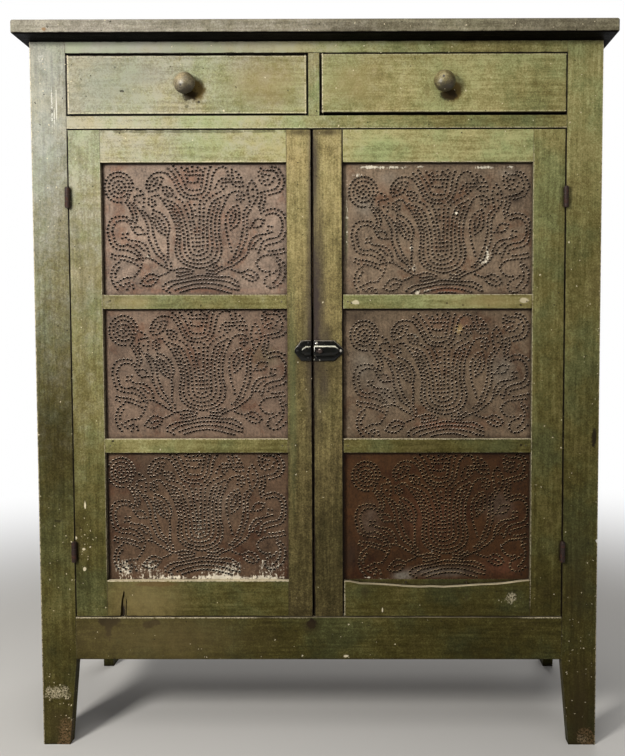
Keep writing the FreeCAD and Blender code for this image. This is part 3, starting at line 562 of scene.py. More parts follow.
ironSet = {
    "hinge": {
        "base": (0.022, 0.012, 0.009, 1), "rust": (0.080, 0.028, 0.014, 1), "rusty": 0.6, "metal": 0.2,
        "rough": (0.5, 0.8), "shine": (0.16, 0.12, 0.08, 1), "gloss": 0.3,
    },
    "latch": {
        "base": (0.004, 0.004, 0.003, 1), "rust": (0.014, 0.010, 0.005, 1), "rusty": 0.3, "metal": 0.0,
        "rough": (0.12, 0.26), "shine": (0.060, 0.060, 0.040, 1), "gloss": 0.2,
    },
    "bolt": {
        "base": (0.034, 0.020, 0.014, 1), "rust": (0.020, 0.010, 0.007, 1), "rusty": 0.6, "metal": 0.3,
        "rough": (0.25, 0.5), "shine": (0.40, 0.34, 0.30, 1), "gloss": 0.5,
    },
    "fastener": {
        "base": (0.050, 0.036, 0.026, 1), "rust": (0.110, 0.048, 0.024, 1), "rusty": 0.45, "metal": 0.5,
        "rough": (0.35, 0.65), "shine": (0.22, 0.19, 0.15, 1), "gloss": 0.5,
    },
}
ironWaves = {
    "lump": (160, 5, 0.65), "fine": (900, 3, 0.6), "worn": (300, 3, 0.6), "edge": 0.0012, "bump": (0.25, 0.0006),
}
latchScrews = {
    "round": ((0.003, -0.186, 0.726), (0.07, 0.02, 0.04)),      # within these reaches the screws are the latch's
    "iron": (0.006, 0.005, 0.004, 1),
    "bright": ((-0.0010, -0.185, 0.7395), (0.0417, -0.185, 0.7260)),
    "brightReach": (0.006, 0.006, 0.006),
    "shine": (0.62, 0.58, 0.50, 1),
}
# a painted highlight on top of the bolt's knob
boltHighlight = {"at": (0.0046, -0.1978, 0.7290), "reach": (0.0022, 0.004, 0.0016), "shine": (0.50, 0.42, 0.36, 1)}
# painted highlights on the latch's upper bevels, and a few worn spots
latchHighlightsAndWear = {
    "plate": (0.240, 0.215, 0.165, 1),
    "box": (0.640, 0.620, 0.500, 1),
    "keeper": (0.420, 0.400, 0.320, 1),
    "spot": (0.40, 0.37, 0.29, 1),
    "from": -0.1862,          # the plate's bevels lie behind this, the box's in front
    "boxEnd": -0.0085,        # the box's left end stays black, for this far to each side
    "endHalf": 0.0032,
    "spots": ((-0.0040, 0.7168), (-0.0058, 0.7100), (0.0043, 0.7093)),
    "spotReach": (0.0019, 0.02, 0.0015),
    "spotFront": -0.188,
    "slant": -0.14,           # the light comes a little from the left
}


def addLatchHighlightsAndWear(tree, place, colour, lump):
    # painted highlights: the bevels that look up towards the light are painted pale, those of the box bright as
    # metal, and there are a few worn spots
    normal, xyz = axesOf(trueNormal(tree)), axesOf(place)
    up = soft(timesPlus(normal["X"], latchHighlightsAndWear["slant"], normal["Z"]), 0.16, 0.34)
    up = times(up, maths("LESS_THAN", normal["Y"], -0.25))
    ahead = maths("LESS_THAN", xyz["Y"], latchHighlightsAndWear["from"])
    fromEnd = maths("ABSOLUTE", minus(xyz["X"], latchHighlightsAndWear["boxEnd"]))
    up = times(up, minus(1.0, maths("LESS_THAN", fromEnd, latchHighlightsAndWear["endHalf"])))
    left = maths("LESS_THAN", xyz["X"], latchHighlightsAndWear["boxEnd"])
    paintedHighlight = mixColour(ahead, latchHighlightsAndWear["plate"], mixColour(left, latchHighlightsAndWear["box"], latchHighlightsAndWear["keeper"]))
    colour = mixColour(times(up, spread(lump, 0.35, 0.55, 0.6, 1.0)), colour, paintedHighlight)
    for x, z in latchHighlightsAndWear["spots"]:
        worn = spotAt(place, (x, latchHighlightsAndWear["spotFront"], z), latchHighlightsAndWear["spotReach"])
        colour = mixColour(worn, colour, latchHighlightsAndWear["spot"])
    return colour


def ironFinish(name, look):
    finish, tree, shader = newFinish(name)
    place = objectPlace(tree)
    lump = noise(place, *ironWaves["lump"])
    fine = noise(place, *ironWaves["fine"])
    rust = times(soft(lump, 0.48, 0.66), look["rusty"])
    colour = mixColour(rust, look["base"], look["rust"])
    worn = times(edgeOf(tree, ironWaves["edge"]), soft(noise(place, *ironWaves["worn"]), 0.4, 0.65))
    colour = laidOver(colour, worn, 0.7, look["shine"])
    rough = spread(plus(lump, rust), 0.35, 0.95, *look["rough"])
    if name.startswith("fastener"):
        # the screws in the latch are as black as it, but two get a painted glint
        black = soft(spotAt(place, *latchScrews["round"]), 0.0, 0.2)
        colour = mixColour(black, colour, latchScrews["iron"])
        near = [spotAt(place, spot, latchScrews["brightReach"]) for spot in latchScrews["bright"]]
        bright = soft(plus(*near), 0.0, 0.3)
        colour = mixColour(bright, colour, latchScrews["shine"])
        rough = timesPlus(bright, -0.25, rough)
    # the bolt's knob gets a painted highlight on top
    if name.startswith("bolt"):
        colour = mixColour(spotAt(place, boltHighlight["at"], boltHighlight["reach"]), colour, boltHighlight["shine"])
    if name.startswith("latch"):
        colour = addLatchHighlightsAndWear(tree, place, colour, lump)
    setShader(shader, colour, rough, look["gloss"])
    shader.inputs["Metallic"].default_value = look["metal"]
    addBump(shader, timesPlus(lump, 0.8, times(fine, 0.35)), ironWaves["bump"], ironWaves["edge"])
    return finish


# ---- painted, bare and iron CAD nodes keep their shape

doorReveal = -0.1797
endGrain = {"front_stile": "z", "rear_stile": "z", "panels": "z", "rails": "y"}
meetingLook = {"grain": "z", "tint": ("ochre", 0.65), "sage": 0.15, "pallor": 0.8, "mottle": 1.3}
topLook = {
    "tone": -0.235, "tint": ("stone", 0.6), "ochre": 0.0, "sage": 0.15, "worn": 0.8, "pallor": 0.9,
    "underside": True, "edge": 0.005,
}
knobLook = {
    "tint": ("umber", 0.45), "ochre": 0.4, "sage": 0.1, "gloss": 0.45, "roughness": (0.28, 0.42), "mottle": 1.5,
}

# in these looks, the dark lines at z 1.2745 on the posts, the top rail and the top paint the shadow under the
# top's overhang, and the dark lines along the drawers' and doors' gaps are dirty joints widened with painted
# shade
paintedNodes = {
    "front_left_post": {
        "grain": "z", "tone": -0.065, "flecks": 0.02, "sage": 0.35, "pallor": 1.15,
        "blooms": [
            (-0.47, 0.56, 0.1, 0.34, -0.34), (-0.47, 0.88, 0.1, 0.2, -0.08), (-0.48, 0.05, 0.1, 0.14, 0.12),
        ],
        "dirtAndShade": 0.6,
        "marks": [
            ("mist", -0.485, 1.15, 0.07, 0.26, 0.28), ("chalk", -0.47, 1.158, 0.0014, 0.04, 0.6),
            ("chalk", -0.462, 1.165, 0.0012, 0.03, 0.5), ("chalk", -0.466, 1.14, 0.001, 0.018, 0.5),
            ("chalk", -0.487, 1.245, 0.008, 0.012, 0.2), ("grimeAndShade", -0.472, 0.4165, 0.012, 0.003, 0.6),
            ("cream", -0.482, 0.097, 0.026, 0.014, 0.55), ("shade", -0.47, 0.02, 0.05, 0.08, 0.6),
            ("bare", -0.466, 0.022, 0.02, 0.035, 0.7), ("grimeAndShade", -0.4699, 1.154, 0.003, 0.004, 0.5),
        ],
        "spatter": [
            (-0.482, 0.097, 0.05, 0.04, 0.5), (-0.45, 0.34, 0.05, 0.15, 0.12), (-0.47, 0.06, 0.06, 0.08, 0.25),
        ],
        "lines": [
            ("grimeAndShade", "X", -0.4445, 0.001, 0.85, 0.17, 1.28), ("grimeAndShade", "Z", 1.2745, 0.0016, 0.9),
            ("cream", "X", -0.5074, 0.0012, 0.6),
        ],
    },
    "front_right_post": {
        "grain": "z", "tone": -0.02, "flecks": 0.03, "dirtAndShade": 0.6,
        "marks": [
            ("grimeAndShade", 0.4994, 0.571, 0.006, 0.022, 0.9), ("chalk", 0.507, 0.379, 0.003, 0.005, 0.9),
            ("cream", 0.485, 0.01, 0.012, 0.01, 0.7), ("shade", 0.48, 0.06, 0.05, 0.16, 0.75),
            ("shade", 0.475, 0.3, 0.06, 0.16, 0.35), ("bare", 0.49, 0.012, 0.02, 0.02, 0.6),
        ],
        "spatter": [
            (0.475, 0.17, 0.05, 0.15, 0.1), (0.49, 0.1, 0.05, 0.1, 0.06), (0.507, 0.75, 0.006, 0.55, 0.25),
        ],
        "lines": [
            ("grimeAndShade", "X", 0.4445, 0.0011, 0.9, 0.17, 1.28), ("grimeAndShade", "Z", 1.2745, 0.0016, 0.9),
            ("cream", "X", 0.5074, 0.001, 0.5),
        ],
    },
    "front_top_rail": {
        "tone": 0.13, "sage": 0.5, "blooms": [(0.35, 1.26, 0.4, 0.2, -0.24)],
        "spatter": [(0.0, 1.262, 0.6, 0.02, 0.05)],
        "marks": [("stone", -0.25, 1.264, 0.22, 0.02, 0.35), ("mist", -0.36, 1.264, 0.22, 0.03, 0.25)],
        "dirtAndShade": 0.4, "lines": [("grimeAndShade", "Z", 1.2745, 0.0018, 0.95), ("grimeAndShade", "Z", 1.2526, 0.0019, 0.95)],
    },
    "front_middle_rail": {
        "tone": 0.05, "sage": 0.6, "blooms": [(0.3, 1.13, 0.3, 0.2, -0.23), (-0.25, 1.13, 0.3, 0.2, 0.08)],
        "lines": [
            ("grimeAndShade", "Z", 1.1209, 0.0013, 0.95), ("grimeAndShade", "Z", 1.1442, 0.0008, 0.8),
            ("cream", "Z", 1.1226, 0.0007, 0.5),
        ],
    },
    "front_bottom_rail": {
        "tone": -0.05, "ledge": 0.8, "blooms": [(-0.3, 0.2, 0.4, 0.2, -0.16)],
        "marks": [
            ("grimeAndShade", -0.384, 0.2305, 0.03, 0.0105, 1.0), ("grimeAndShade", -0.384, 0.216, 0.008, 0.024, 1.0),
            ("grimeAndShade", -0.0138, 0.228, 0.011, 0.011, 1.0), ("shade", -0.0138, 0.222, 0.022, 0.02, 0.7),
            ("grimeAndShade", -0.3125, 0.2245, 0.013, 0.0085, 1.0), ("grimeAndShade", -0.299, 0.228, 0.012, 0.0075, 1.0),
            ("cream", 0.05, 0.166, 0.006, 0.003, 0.9), ("ochre", -0.3, 0.2, 0.25, 0.08, 0.35),
            ("shade", -0.3, 0.2, 0.3, 0.06, 0.25),
        ],
        "spatter": [(-0.2, 0.2, 0.4, 0.05, 0.02), (-0.2, 0.165, 0.5, 0.008, 0.15)],
        "lines": [
            ("cream", "Z", 0.2372, 0.0009, 0.95, -0.5, -0.1), ("cream", "Z", 0.2372, 0.0006, 0.6, -0.1, 0.0),
            ("cream", "Z", 0.2372, 0.0009, 0.9, 0.36, 0.46), ("grimeAndShade", "Z", 0.1602, 0.0008, 0.7),
        ],
    },
    "drawer_divider": {
        "grain": "z", "tone": -0.02, "sage": 0.8,
        "lines": [("grimeAndShade", "X", -0.0146, 0.001, 0.8), ("grimeAndShade", "X", 0.0061, 0.001, 0.9)],
    },
    **{side + "_end_" + part: {"grain": grain} for side in ("left", "right") for part, grain in endGrain.items()},
    "top_front_board": {
        **topLook, "gloss": 0.02, "front": -0.225, "marks": [("bare", -0.466, 1.281, 0.006, 0.004, 0.9)],
        "flecks": 0.03, "lines": [("grimeAndShade", "Z", 1.2745, 0.002, 0.8)],
    },
    "top_rear_board": {**topLook, "gloss": 0.03},
    "left_door_hinge_stile": {
        "grain": "z", "blooms": [(-0.41, 0.42, 0.1, 0.25, -0.14)], "spatter": [(-0.425, 0.36, 0.03, 0.09, 0.4)],
        "marks": [
            ("cream", -0.424, 0.4458, 0.002, 0.008, 0.9), ("cream", -0.428, 0.364, 0.004, 0.004, 0.8),
            ("cream", -0.427, 0.328, 0.003, 0.004, 0.8), ("cream", -0.4415, 0.385, 0.002, 0.004, 0.9),
        ],
        "lines": [
            ("grimeAndShade", "X", -0.4431, 0.0011, 0.9), ("shade", "X", -0.3858, 0.0009, 0.6),
            ("cream", "X", -0.3864, 0.0008, 0.35, 0.3, 1.07),
        ],
    },
    "left_door_meeting_stile": {
        **meetingLook, "tone": 0.03,
        "blooms": [(-0.03, 0.42, 0.1, 0.26, -0.13), (-0.035, 0.98, 0.1, 0.15, 0.09)],
        "marks": [
            ("plum", -0.006, 0.76, 0.026, 0.3, 0.95), ("plum", -0.008, 1.0, 0.014, 0.24, 0.8),
            ("shade", -0.014, 0.72, 0.045, 0.06, 0.5), ("shade", -0.03, 1.115, 0.04, 0.012, 0.8),
            ("sage", -0.045, 0.66, 0.012, 0.3, 0.5),
        ],
        "lines": [("grimeAndShade", "X", -0.0095, 0.0024, 1.0), ("shade", "X", -0.0538, 0.0008, 0.6)],
    },
    "left_door_top_rail": {
        "tone": 0.15, "marks": [("grimeAndShade", -0.22, 1.116, 0.2, 0.003, 0.5)],
        "lines": [
            ("cream", "Z", 1.0632, 0.001, 0.6), ("shade", "X", -0.3858, 0.0009, 0.6),
            ("shade", "X", -0.0542, 0.0009, 0.6), ("grimeAndShade", "Z", 1.119, 0.0009, 0.8),
        ],
    },
    "left_door_bottom_rail": {
        "ledge": 1.0,
        "marks": [
            ("ochre", -0.32, 0.27, 0.12, 0.08, 0.6), ("rust", -0.3, 0.3, 0.05, 0.006, 0.35),
            ("plum", -0.3568, 0.25, 0.005, 0.02, 1.0), ("grimeAndShade", -0.358, 0.246, 0.003, 0.014, 0.8),
        ],
        "lines": [
            ("shade", "X", -0.3857, 0.0011, 0.8), ("shade", "X", -0.0542, 0.0011, 0.7),
            ("grimeAndShade", "Z", 0.2402, 0.0014, 0.9), ("cream", "Z", 0.3053, 0.001, 0.9),
        ],
    },
    "left_door_bars": {
        "worn": 0.9, "ledge": 0.9, "blooms": [(-0.22, 0.554, 0.4, 0.1, 0.11), (-0.22, 0.814, 0.4, 0.1, -0.06)],
        "marks": [
            ("grimeAndShade", -0.3723, 0.816, 0.0025, 0.0025, 0.9), ("grimeAndShade", -0.3711, 0.563, 0.0025, 0.0025, 0.9),
            ("ochre", -0.33, 0.814, 0.06, 0.02, 0.5),
        ],
        "lines": [
            ("shade", "X", -0.3857, 0.0009, 0.7), ("shade", "X", -0.0542, 0.0009, 0.6),
            ("cream", "Z", 0.8262, 0.0007, 0.6), ("cream", "Z", 0.5658, 0.0007, 0.6),
        ],
    },
    "right_door_hinge_stile": {
        "grain": "z", "tone": -0.02,
        "lines": [
            ("grimeAndShade", "X", 0.443, 0.0013, 0.95), ("cream", "X", 0.3866, 0.0009, 0.5, 0.25, 1.1),
            ("shade", "X", 0.3858, 0.0007, 0.5),
        ],
    },
    "right_door_meeting_stile": {
        **meetingLook, "tone": 0.02, "blooms": [(0.02, 0.42, 0.1, 0.26, -0.19), (0.02, 0.98, 0.1, 0.15, 0.08)],
        "marks": [
            ("plum", -0.004, 0.8, 0.03, 0.32, 0.95), ("plum", -0.004, 1.05, 0.012, 0.15, 0.8),
            ("shade", 0.016, 0.7, 0.05, 0.06, 0.5), ("plum", 0.018, 0.755, 0.014, 0.03, 0.6),
            ("plum", 0.014, 0.66, 0.014, 0.05, 0.6), ("grimeAndShade", 0.0215, 0.869, 0.0015, 0.0015, 1.0),
            ("shade", 0.02, 1.115, 0.04, 0.012, 0.8), ("grimeAndShade", 0.0015, 0.7455, 0.0015, 0.007, 0.9),
        ],
        "lines": [("grimeAndShade", "X", -0.0074, 0.0024, 1.0), ("grimeAndShade", "X", 0.045, 0.0011, 0.95)],
    },
    "right_door_top_rail": {
        "tone": 0.14, "sage": 0.6,
        "lines": [
            ("cream", "Z", 1.0626, 0.0008, 0.7, 0.1, 0.3), ("cream", "Z", 1.0626, 0.0008, 0.6, 0.33, 0.4),
            ("shade", "X", 0.3857, 0.0009, 0.6),
        ],
    },
    "right_door_bottom_rail": {
        "tone": -0.02, "ledge": 1.0,
        "marks": [
            ("cream", 0.35, 0.272, 0.014, 0.012, 0.5), ("cream", 0.117, 0.2525, 0.0015, 0.005, 0.9),
            ("shade", 0.27, 0.275, 0.004, 0.012, 0.5), ("shade", 0.085, 0.285, 0.012, 0.02, 0.5),
        ],
        "lines": [
            ("cream", "X", 0.0483, 0.001, 0.6), ("shade", "X", 0.3857, 0.0009, 0.7),
            ("grimeAndShade", "Z", 0.2402, 0.001, 0.8),
        ],
        "spatter": [(0.352, 0.27, 0.03, 0.03, 0.3)],
    },
    "right_door_bars": {
        "worn": 0.9, "ledge": 0.9, "blooms": [(0.22, 0.814, 0.4, 0.1, 0.2), (0.22, 0.554, 0.4, 0.1, -0.12)],
        "marks": [
            ("grimeAndShade", 0.0617, 0.8116, 0.0025, 0.0025, 0.9), ("grimeAndShade", 0.233, 0.8108, 0.002, 0.002, 0.8),
            ("grimeAndShade", 0.2617, 0.8077, 0.0022, 0.0022, 0.8), ("grimeAndShade", 0.3083, 0.8077, 0.002, 0.002, 0.8),
            ("grimeAndShade", 0.3652, 0.8076, 0.0025, 0.0025, 0.9), ("grimeAndShade", 0.3677, 0.5549, 0.0025, 0.0025, 0.9),
            ("cream", 0.068, 0.8134, 0.008, 0.005, 0.6), ("cream", 0.371, 0.8165, 0.01, 0.005, 0.6),
            ("ochre", 0.3, 0.814, 0.1, 0.02, 0.6),
        ],
        "lines": [
            ("shade", "X", 0.3857, 0.0009, 0.6), ("cream", "Z", 0.8262, 0.0007, 0.7),
            ("cream", "Z", 0.5658, 0.0007, 0.7),
        ],
    },
    # on both drawer fronts, the dark mark just below and to the right of the knob is the knob's painted shadow
    "left_drawer_front": {
        "tone": -0.035, "ochre": 0.25, "sage": 0.35,
        "marks": [
            ("ochre", -0.09, 1.2, 0.12, 0.07, 0.55), ("stone", -0.3, 1.215, 0.05, 0.02, 0.3),
            ("sage", -0.36, 1.2, 0.12, 0.08, 0.35), ("ghost", -0.216, 1.1885, 0.0235, 0.024, 1.0),
            ("grimeAndShade", -0.2225, 1.1795, 0.0165, 0.013, 0.8), ("mist", -0.37, 1.2, 0.14, 0.09, 0.12),
            ("grimeAndShade", -0.3448, 1.1875, 0.005, 0.0025, 0.8), ("grimeAndShade", -0.1374, 1.1485, 0.004, 0.003, 0.9),
            ("grimeAndShade", -0.23, 1.1605, 0.006, 0.003, 0.5), ("grimeAndShade", -0.2088, 1.168, 0.003, 0.003, 0.8),
            ("grimeAndShade", -0.357, 1.229, 0.003, 0.002, 0.5),
        ],
        "lines": [
            ("grimeAndShade", "Z", 1.2499, 0.0019, 1.0), ("grimeAndShade", "X", -0.4433, 0.0017, 1.0),
            ("grimeAndShade", "X", -0.017, 0.0013, 0.95), ("grimeAndShade", "Z", 1.1471, 0.001, 0.9),
            ("cream", "X", -0.4405, 0.001, 0.8), ("cream", "Z", 1.149, 0.0009, 0.7),
            ("cream", "X", -0.0196, 0.0009, 0.8), ("cream", "Z", 1.247, 0.0008, 0.6),
        ],
    },
    "right_drawer_front": {
        "tone": 0.04, "ochre": 0.4, "sage": 0.4, "pallor": 0.6, "front": -0.1825,
        "blooms": [(0.38, 1.2, 0.16, 0.1, -0.15), (0.06, 1.2, 0.08, 0.1, 0.05)],
        "marks": [
            ("ghost", 0.2405, 1.187, 0.0225, 0.0225, 1.0), ("grimeAndShade", 0.233, 1.18, 0.0165, 0.013, 0.8),
            ("ghost", 0.1962, 1.1875, 0.006, 0.014, 0.35), ("ochre", 0.06, 1.2, 0.08, 0.06, 0.5),
        ],
        "lines": [
            ("grimeAndShade", "Z", 1.2515, 0.0015, 1.0), ("grimeAndShade", "X", 0.0087, 0.0019, 1.0),
            ("grimeAndShade", "X", 0.4432, 0.0017, 0.95), ("grimeAndShade", "Z", 1.1488, 0.0014, 0.95),
            ("cream", "X", 0.0114, 0.001, 0.9), ("cream", "Z", 1.1512, 0.0008, 0.5),
            ("cream", "Z", 1.2494, 0.0008, 0.4),
        ],
    },
    # on both knobs the blooms paint a highlight at the upper left and shade on the lower part, and the shade
    # marks paint more shade to the right and below
    "left_drawer_knob": {
        **knobLook, "tone": -0.33, "front": -0.212,
        "blooms": [(-0.238, 1.206, 0.02, 0.02, 0.38), (-0.226, 1.172, 0.034, 0.024, -1.1)],
        "marks": [
            ("shade", -0.22, 1.182, 0.018, 0.016, 1.0), ("shade", -0.211, 1.196, 0.01, 0.024, 1.0),
            ("grimeAndShade", -0.2345, 1.19, 0.003, 0.003, 0.9),
        ],
    },
    "right_drawer_knob": {
        **knobLook, "tone": -0.36, "front": -0.213,
        "blooms": [(0.218, 1.208, 0.02, 0.02, 0.32), (0.23, 1.174, 0.034, 0.024, -1.1)],
        "marks": [
            ("shade", 0.236, 1.184, 0.018, 0.016, 1.0), ("shade", 0.245, 1.198, 0.01, 0.024, 1.0),
            ("grimeAndShade", 0.223, 1.204, 0.003, 0.003, 0.9),
        ],
    },
}

bareNodes = {
    "shelves": "x", "shelf_cleats": "y", "floor_boards": "x", "drawer_slides": "y", "door_stops": "x",
    "rear_rails": "x", "back_boards": "z", "left_drawer_sides": "y", "right_drawer_sides": "y",
    "left_drawer_back": "x", "right_drawer_back": "x", "left_drawer_bottom": "x", "right_drawer_bottom": "x",
}

ironNodes = {
    "hinge": ["case_hinge_leaves", "hinge_pins", "left_door_hinge_leaves", "right_door_hinge_leaves"],
    "bolt": ["latch_bolt"],
    "fastener": ["left_door_fixings", "right_door_fixings", "case_nails", "case_hinge_screws"],
}


def giveFinish(node, finish):
    for slot in nodes[node].material_slots:
        slot.material = finish


paints = {}
for seed, (node, look) in enumerate(paintedNodes.items()):
    look = {"seed": seed + 1, **usualPaint, **look}
    if "_door_" in node or node in ("front_middle_rail", "front_bottom_rail"):
        look["reveal"] = doorReveal
    paints[node] = paintFinish(node + "Paint", look)
    giveFinish(node, paints[node])
for seed, (node, grain) in enumerate(bareNodes.items()):
    look = {"seed": seed + 1, "grain": grain}
    if node == "back_boards":
        look["boards"] = woodSet["backBoards"]
    giveFinish(node, woodFinish(node + "Wood", look))
for kind, names in ironNodes.items():
    finish = ironFinish(kind + "Iron", ironSet[kind])
    for node in names:
        giveFinish(node, finish)
print("boards, bare wood and iron finished")


# ---- making pieces

def makePiece(name, bm, body, finish, replaced=(), smooth=None):
    mesh = bpy.data.meshes.new(name)
    bm.to_mesh(mesh)
    bm.free()
    if smooth is not None:
        mesh.shade_smooth()
        mesh.set_sharp_from_angle(angle=math.radians(smooth))
    piece = bpy.data.objects.new(name, mesh)
    mesh.materials.append(finish)
    scene.collection.objects.link(piece)
    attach(piece, body)
    if replaced:
        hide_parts(*replaced)
    return piece


def prism(outline, back, front, bevel=0.0, square=None):
    # an outline in x and z drawn out to the front, its front edges bevelled but for one at x = square
    bm = bmesh.new()
    face = bm.faces.new([bm.verts.new((x, back, z)) for x, z in outline])
    grown = bmesh.ops.extrude_face_region(bm, geom=[face])["geom"]
    ahead = [part for part in grown if isinstance(part, bmesh.types.BMVert)]
    bmesh.ops.translate(bm, vec=(0, front - back, 0), verts=ahead)
    bmesh.ops.recalc_face_normals(bm, faces=bm.faces[:])
    if bevel:
        edges = [edge for edge in bm.edges if all(vert in ahead for vert in edge.verts)
                 and not all(vert.co.x == square for vert in edge.verts)]
        bmesh.ops.bevel(bm, geom=edges, offset=bevel, offset_type="OFFSET", segments=2, profile=0.5,
                        affect="EDGES", material=-1)
    return bm


def carve(bm, tool, operation="DIFFERENCE"):
    # cuts one closed shape with another, or joins the two
    pair = []
    for shape in (bm, tool):
        mesh = bpy.data.meshes.new("carved")
        shape.to_mesh(mesh)
        shape.free()
        pair.append(bpy.data.objects.new("carved", mesh))
        scene.collection.objects.link(pair[-1])
    cut = pair[0].modifiers.new("cut", "BOOLEAN")
    cut.operation = operation
    cut.solver = "EXACT"
    cut.object = pair[1]
    shaped = pair[0].evaluated_get(bpy.context.evaluated_depsgraph_get())
    made = bpy.data.meshes.new_from_object(shaped)
    result = bmesh.new()
    result.from_mesh(made)
    used = [piece.data for piece in pair] + [made]
    for piece in pair:
        bpy.data.objects.remove(piece)
    for mesh in used:
        bpy.data.meshes.remove(mesh)
    return result


# ---- boards that have split, broken or shrunk

carveSet = {"weld": 0.000001, "flat": 0.01, "front": -0.19}
openJoint = {
    "outline": [(0.0445, 0.238), (0.0472, 0.238), (0.0470, 0.60), (0.0468, 1.121), (0.0445, 1.121)],
    "back": -0.1660,
}

carvedBoards = {
    "right_door_top_rail": {"body": "right_door", "cuts": [openJoint]},
    "right_door_bars": {"body": "right_door", "cuts": [openJoint]},
    "right_door_bottom_rail": {
        "body": "right_door",
        "cuts": [
            openJoint,
            {
                "outline": [
                    (0.044, 0.305), (0.058, 0.304), (0.076, 0.3), (0.1, 0.299), (0.127, 0.2975),
                    (0.155, 0.2952), (0.1855, 0.2936), (0.205, 0.2944), (0.229, 0.2936), (0.262, 0.2956),
                    (0.295, 0.2978), (0.325, 0.299), (0.35, 0.3015), (0.37, 0.3046), (0.385, 0.3058),
                    (0.385, 0.31), (0.044, 0.31),
                ],
                "back": -0.1712,
            },
        ],
    },
    "left_door_bottom_rail": {
        "body": "left_door",
        "cuts": [
            {
                "outline": [
                    (-0.3555, 0.2882), (-0.3535, 0.279), (-0.3513, 0.2722), (-0.3503, 0.2666),
                    (-0.3509, 0.2555), (-0.3516, 0.238), (-0.3626, 0.238), (-0.3614, 0.2592), (-0.3598, 0.2703),
                    (-0.3574, 0.2815),
                ],
                "back": -0.179,
            },
            {
                "outline": [
                    (-0.3575, 0.281), (-0.3555, 0.2872), (-0.3552, 0.278), (-0.3578, 0.268), (-0.359, 0.239),
                    (-0.3625, 0.239), (-0.3613, 0.2592), (-0.3597, 0.2703),
                ],
                "back": -0.173,
            },
            {
                "outline": [
                    (-0.3525, 0.2735), (-0.3504, 0.2666), (-0.351, 0.2555), (-0.3517, 0.239), (-0.3534, 0.239),
                    (-0.353, 0.26),
                ],
                "back": -0.173,
            },
        ],
    },
}


def weldedCopy(node):
    bm = bmesh.new()
    bm.from_mesh(nodes[node].data)
    bmesh.ops.remove_doubles(bm, verts=bm.verts, dist=carveSet["weld"])
    return bm


for node, look in carvedBoards.items():
    board = weldedCopy(node)
    bmesh.ops.dissolve_limit(board, angle_limit=carveSet["flat"], verts=board.verts, edges=board.edges)
    for cut in look["cuts"]:
        board = carve(board, prism(cut["outline"], cut["back"], carveSet["front"]))
    makePiece(node + "_carved", board, look["body"], paints[node], [node])
print("split and broken boards carved")


# ---- back boards, swollen until next to no light comes through between them

backSeams = {"places": (-0.33033, -0.16517, 0.0, 0.16517, 0.33033), "gap": 0.001, "swell": 0.0004}

board = weldedCopy("back_boards")
for vert in board.verts:
    for seam in backSeams["places"]:
        away = vert.co.x - seam
        if abs(away) < backSeams["gap"]:
            vert.co.x -= math.copysign(backSeams["swell"], away)
boardFinish = nodes["back_boards"].material_slots[0].material
makePiece("back_boards_swollen", board, "case", boardFinish, ["back_boards"])
print("back boards swollen")


# ---- latch: the case on the right door, its keeper on the left

latchSet = {
    "front": -0.181,
    "middle": 0.726,
    "plate": {"deep": 0.003, "halfHigh": 0.0185, "tip": 0.003, "bevel": 0.0010},
    "boltHalfHigh": 0.0043,
    "boltBack": -0.1842,
    "boltFront": -0.1893,
    "slotFront": -0.193,
    "over": 0.001,
    "sharp": 50,       # degrees
}

latchPieces = {
    "latch_case": {
        "body": "right_door", "start": -0.0067, "side": 1, "plateLong": 0.037, "plateTip": 0.054,
        "box": {"deep": 0.011, "halfHigh": 0.0095, "tip": 0.0036, "bevel": 0.0028}, "boxLong": 0.039,
        "boxTip": 0.0455, "boltLong": 0.0266, "slot": (-0.0035, 0.0081, 0.0023),
    },
    "latch_keeper": {
        "body": "left_door", "start": -0.0103, "side": -1, "plateLong": 0.0185, "plateTip": 0.0305,
        "box": {"deep": 0.01, "halfHigh": 0.0085, "tip": 0.0032, "bevel": 0.0024}, "boxLong": 0.0105,
        "boxTip": 0.017, "boltLong": 0.00925, "slot": None,
    },
}


def latchPrism(look, start, side, long, tip):
    # square where the doors meet, and narrowed to a blunt point at the other end
    middle, high, narrow = latchSet["middle"], look["halfHigh"], look["tip"]
    lower = [(start, middle - high), (start + side * long, middle - high), (start + side * tip, middle - narrow)]
    outline = lower + [(x, 2 * middle - z) for x, z in reversed(lower)]
    return prism(outline, latchSet["front"], latchSet["front"] - look["deep"], look["bevel"], start)


def latchBar(near, far, half, front):
    # a square bar, level with the middle of the latch
    low, high = latchSet["middle"] - half, latchSet["middle"] + half
    return prism([(near, low), (far, low), (far, high), (near, high)], latchSet["boltBack"], front)


latchFinish = ironFinish("latchIron", ironSet["latch"])
for node, look in latchPieces.items():
    start, side = look["start"], look["side"]
    shape = carve(latchPrism(latchSet["plate"], start, side, look["plateLong"], look["plateTip"]),
                  latchPrism(look["box"], start, side, look["boxLong"], look["boxTip"]), "UNION")
    near, far = start - side * latchSet["over"], start + side * look["boltLong"]
    shape = carve(shape, latchBar(near, far, latchSet["boltHalfHigh"], latchSet["boltFront"]))
    if look["slot"]:
        shape = carve(shape, latchBar(*look["slot"], latchSet["slotFront"]))
    makePiece(node + "_cast", shape, look["body"], latchFinish, [node], latchSet["sharp"])
print("latch cast")


# ---- punched tins

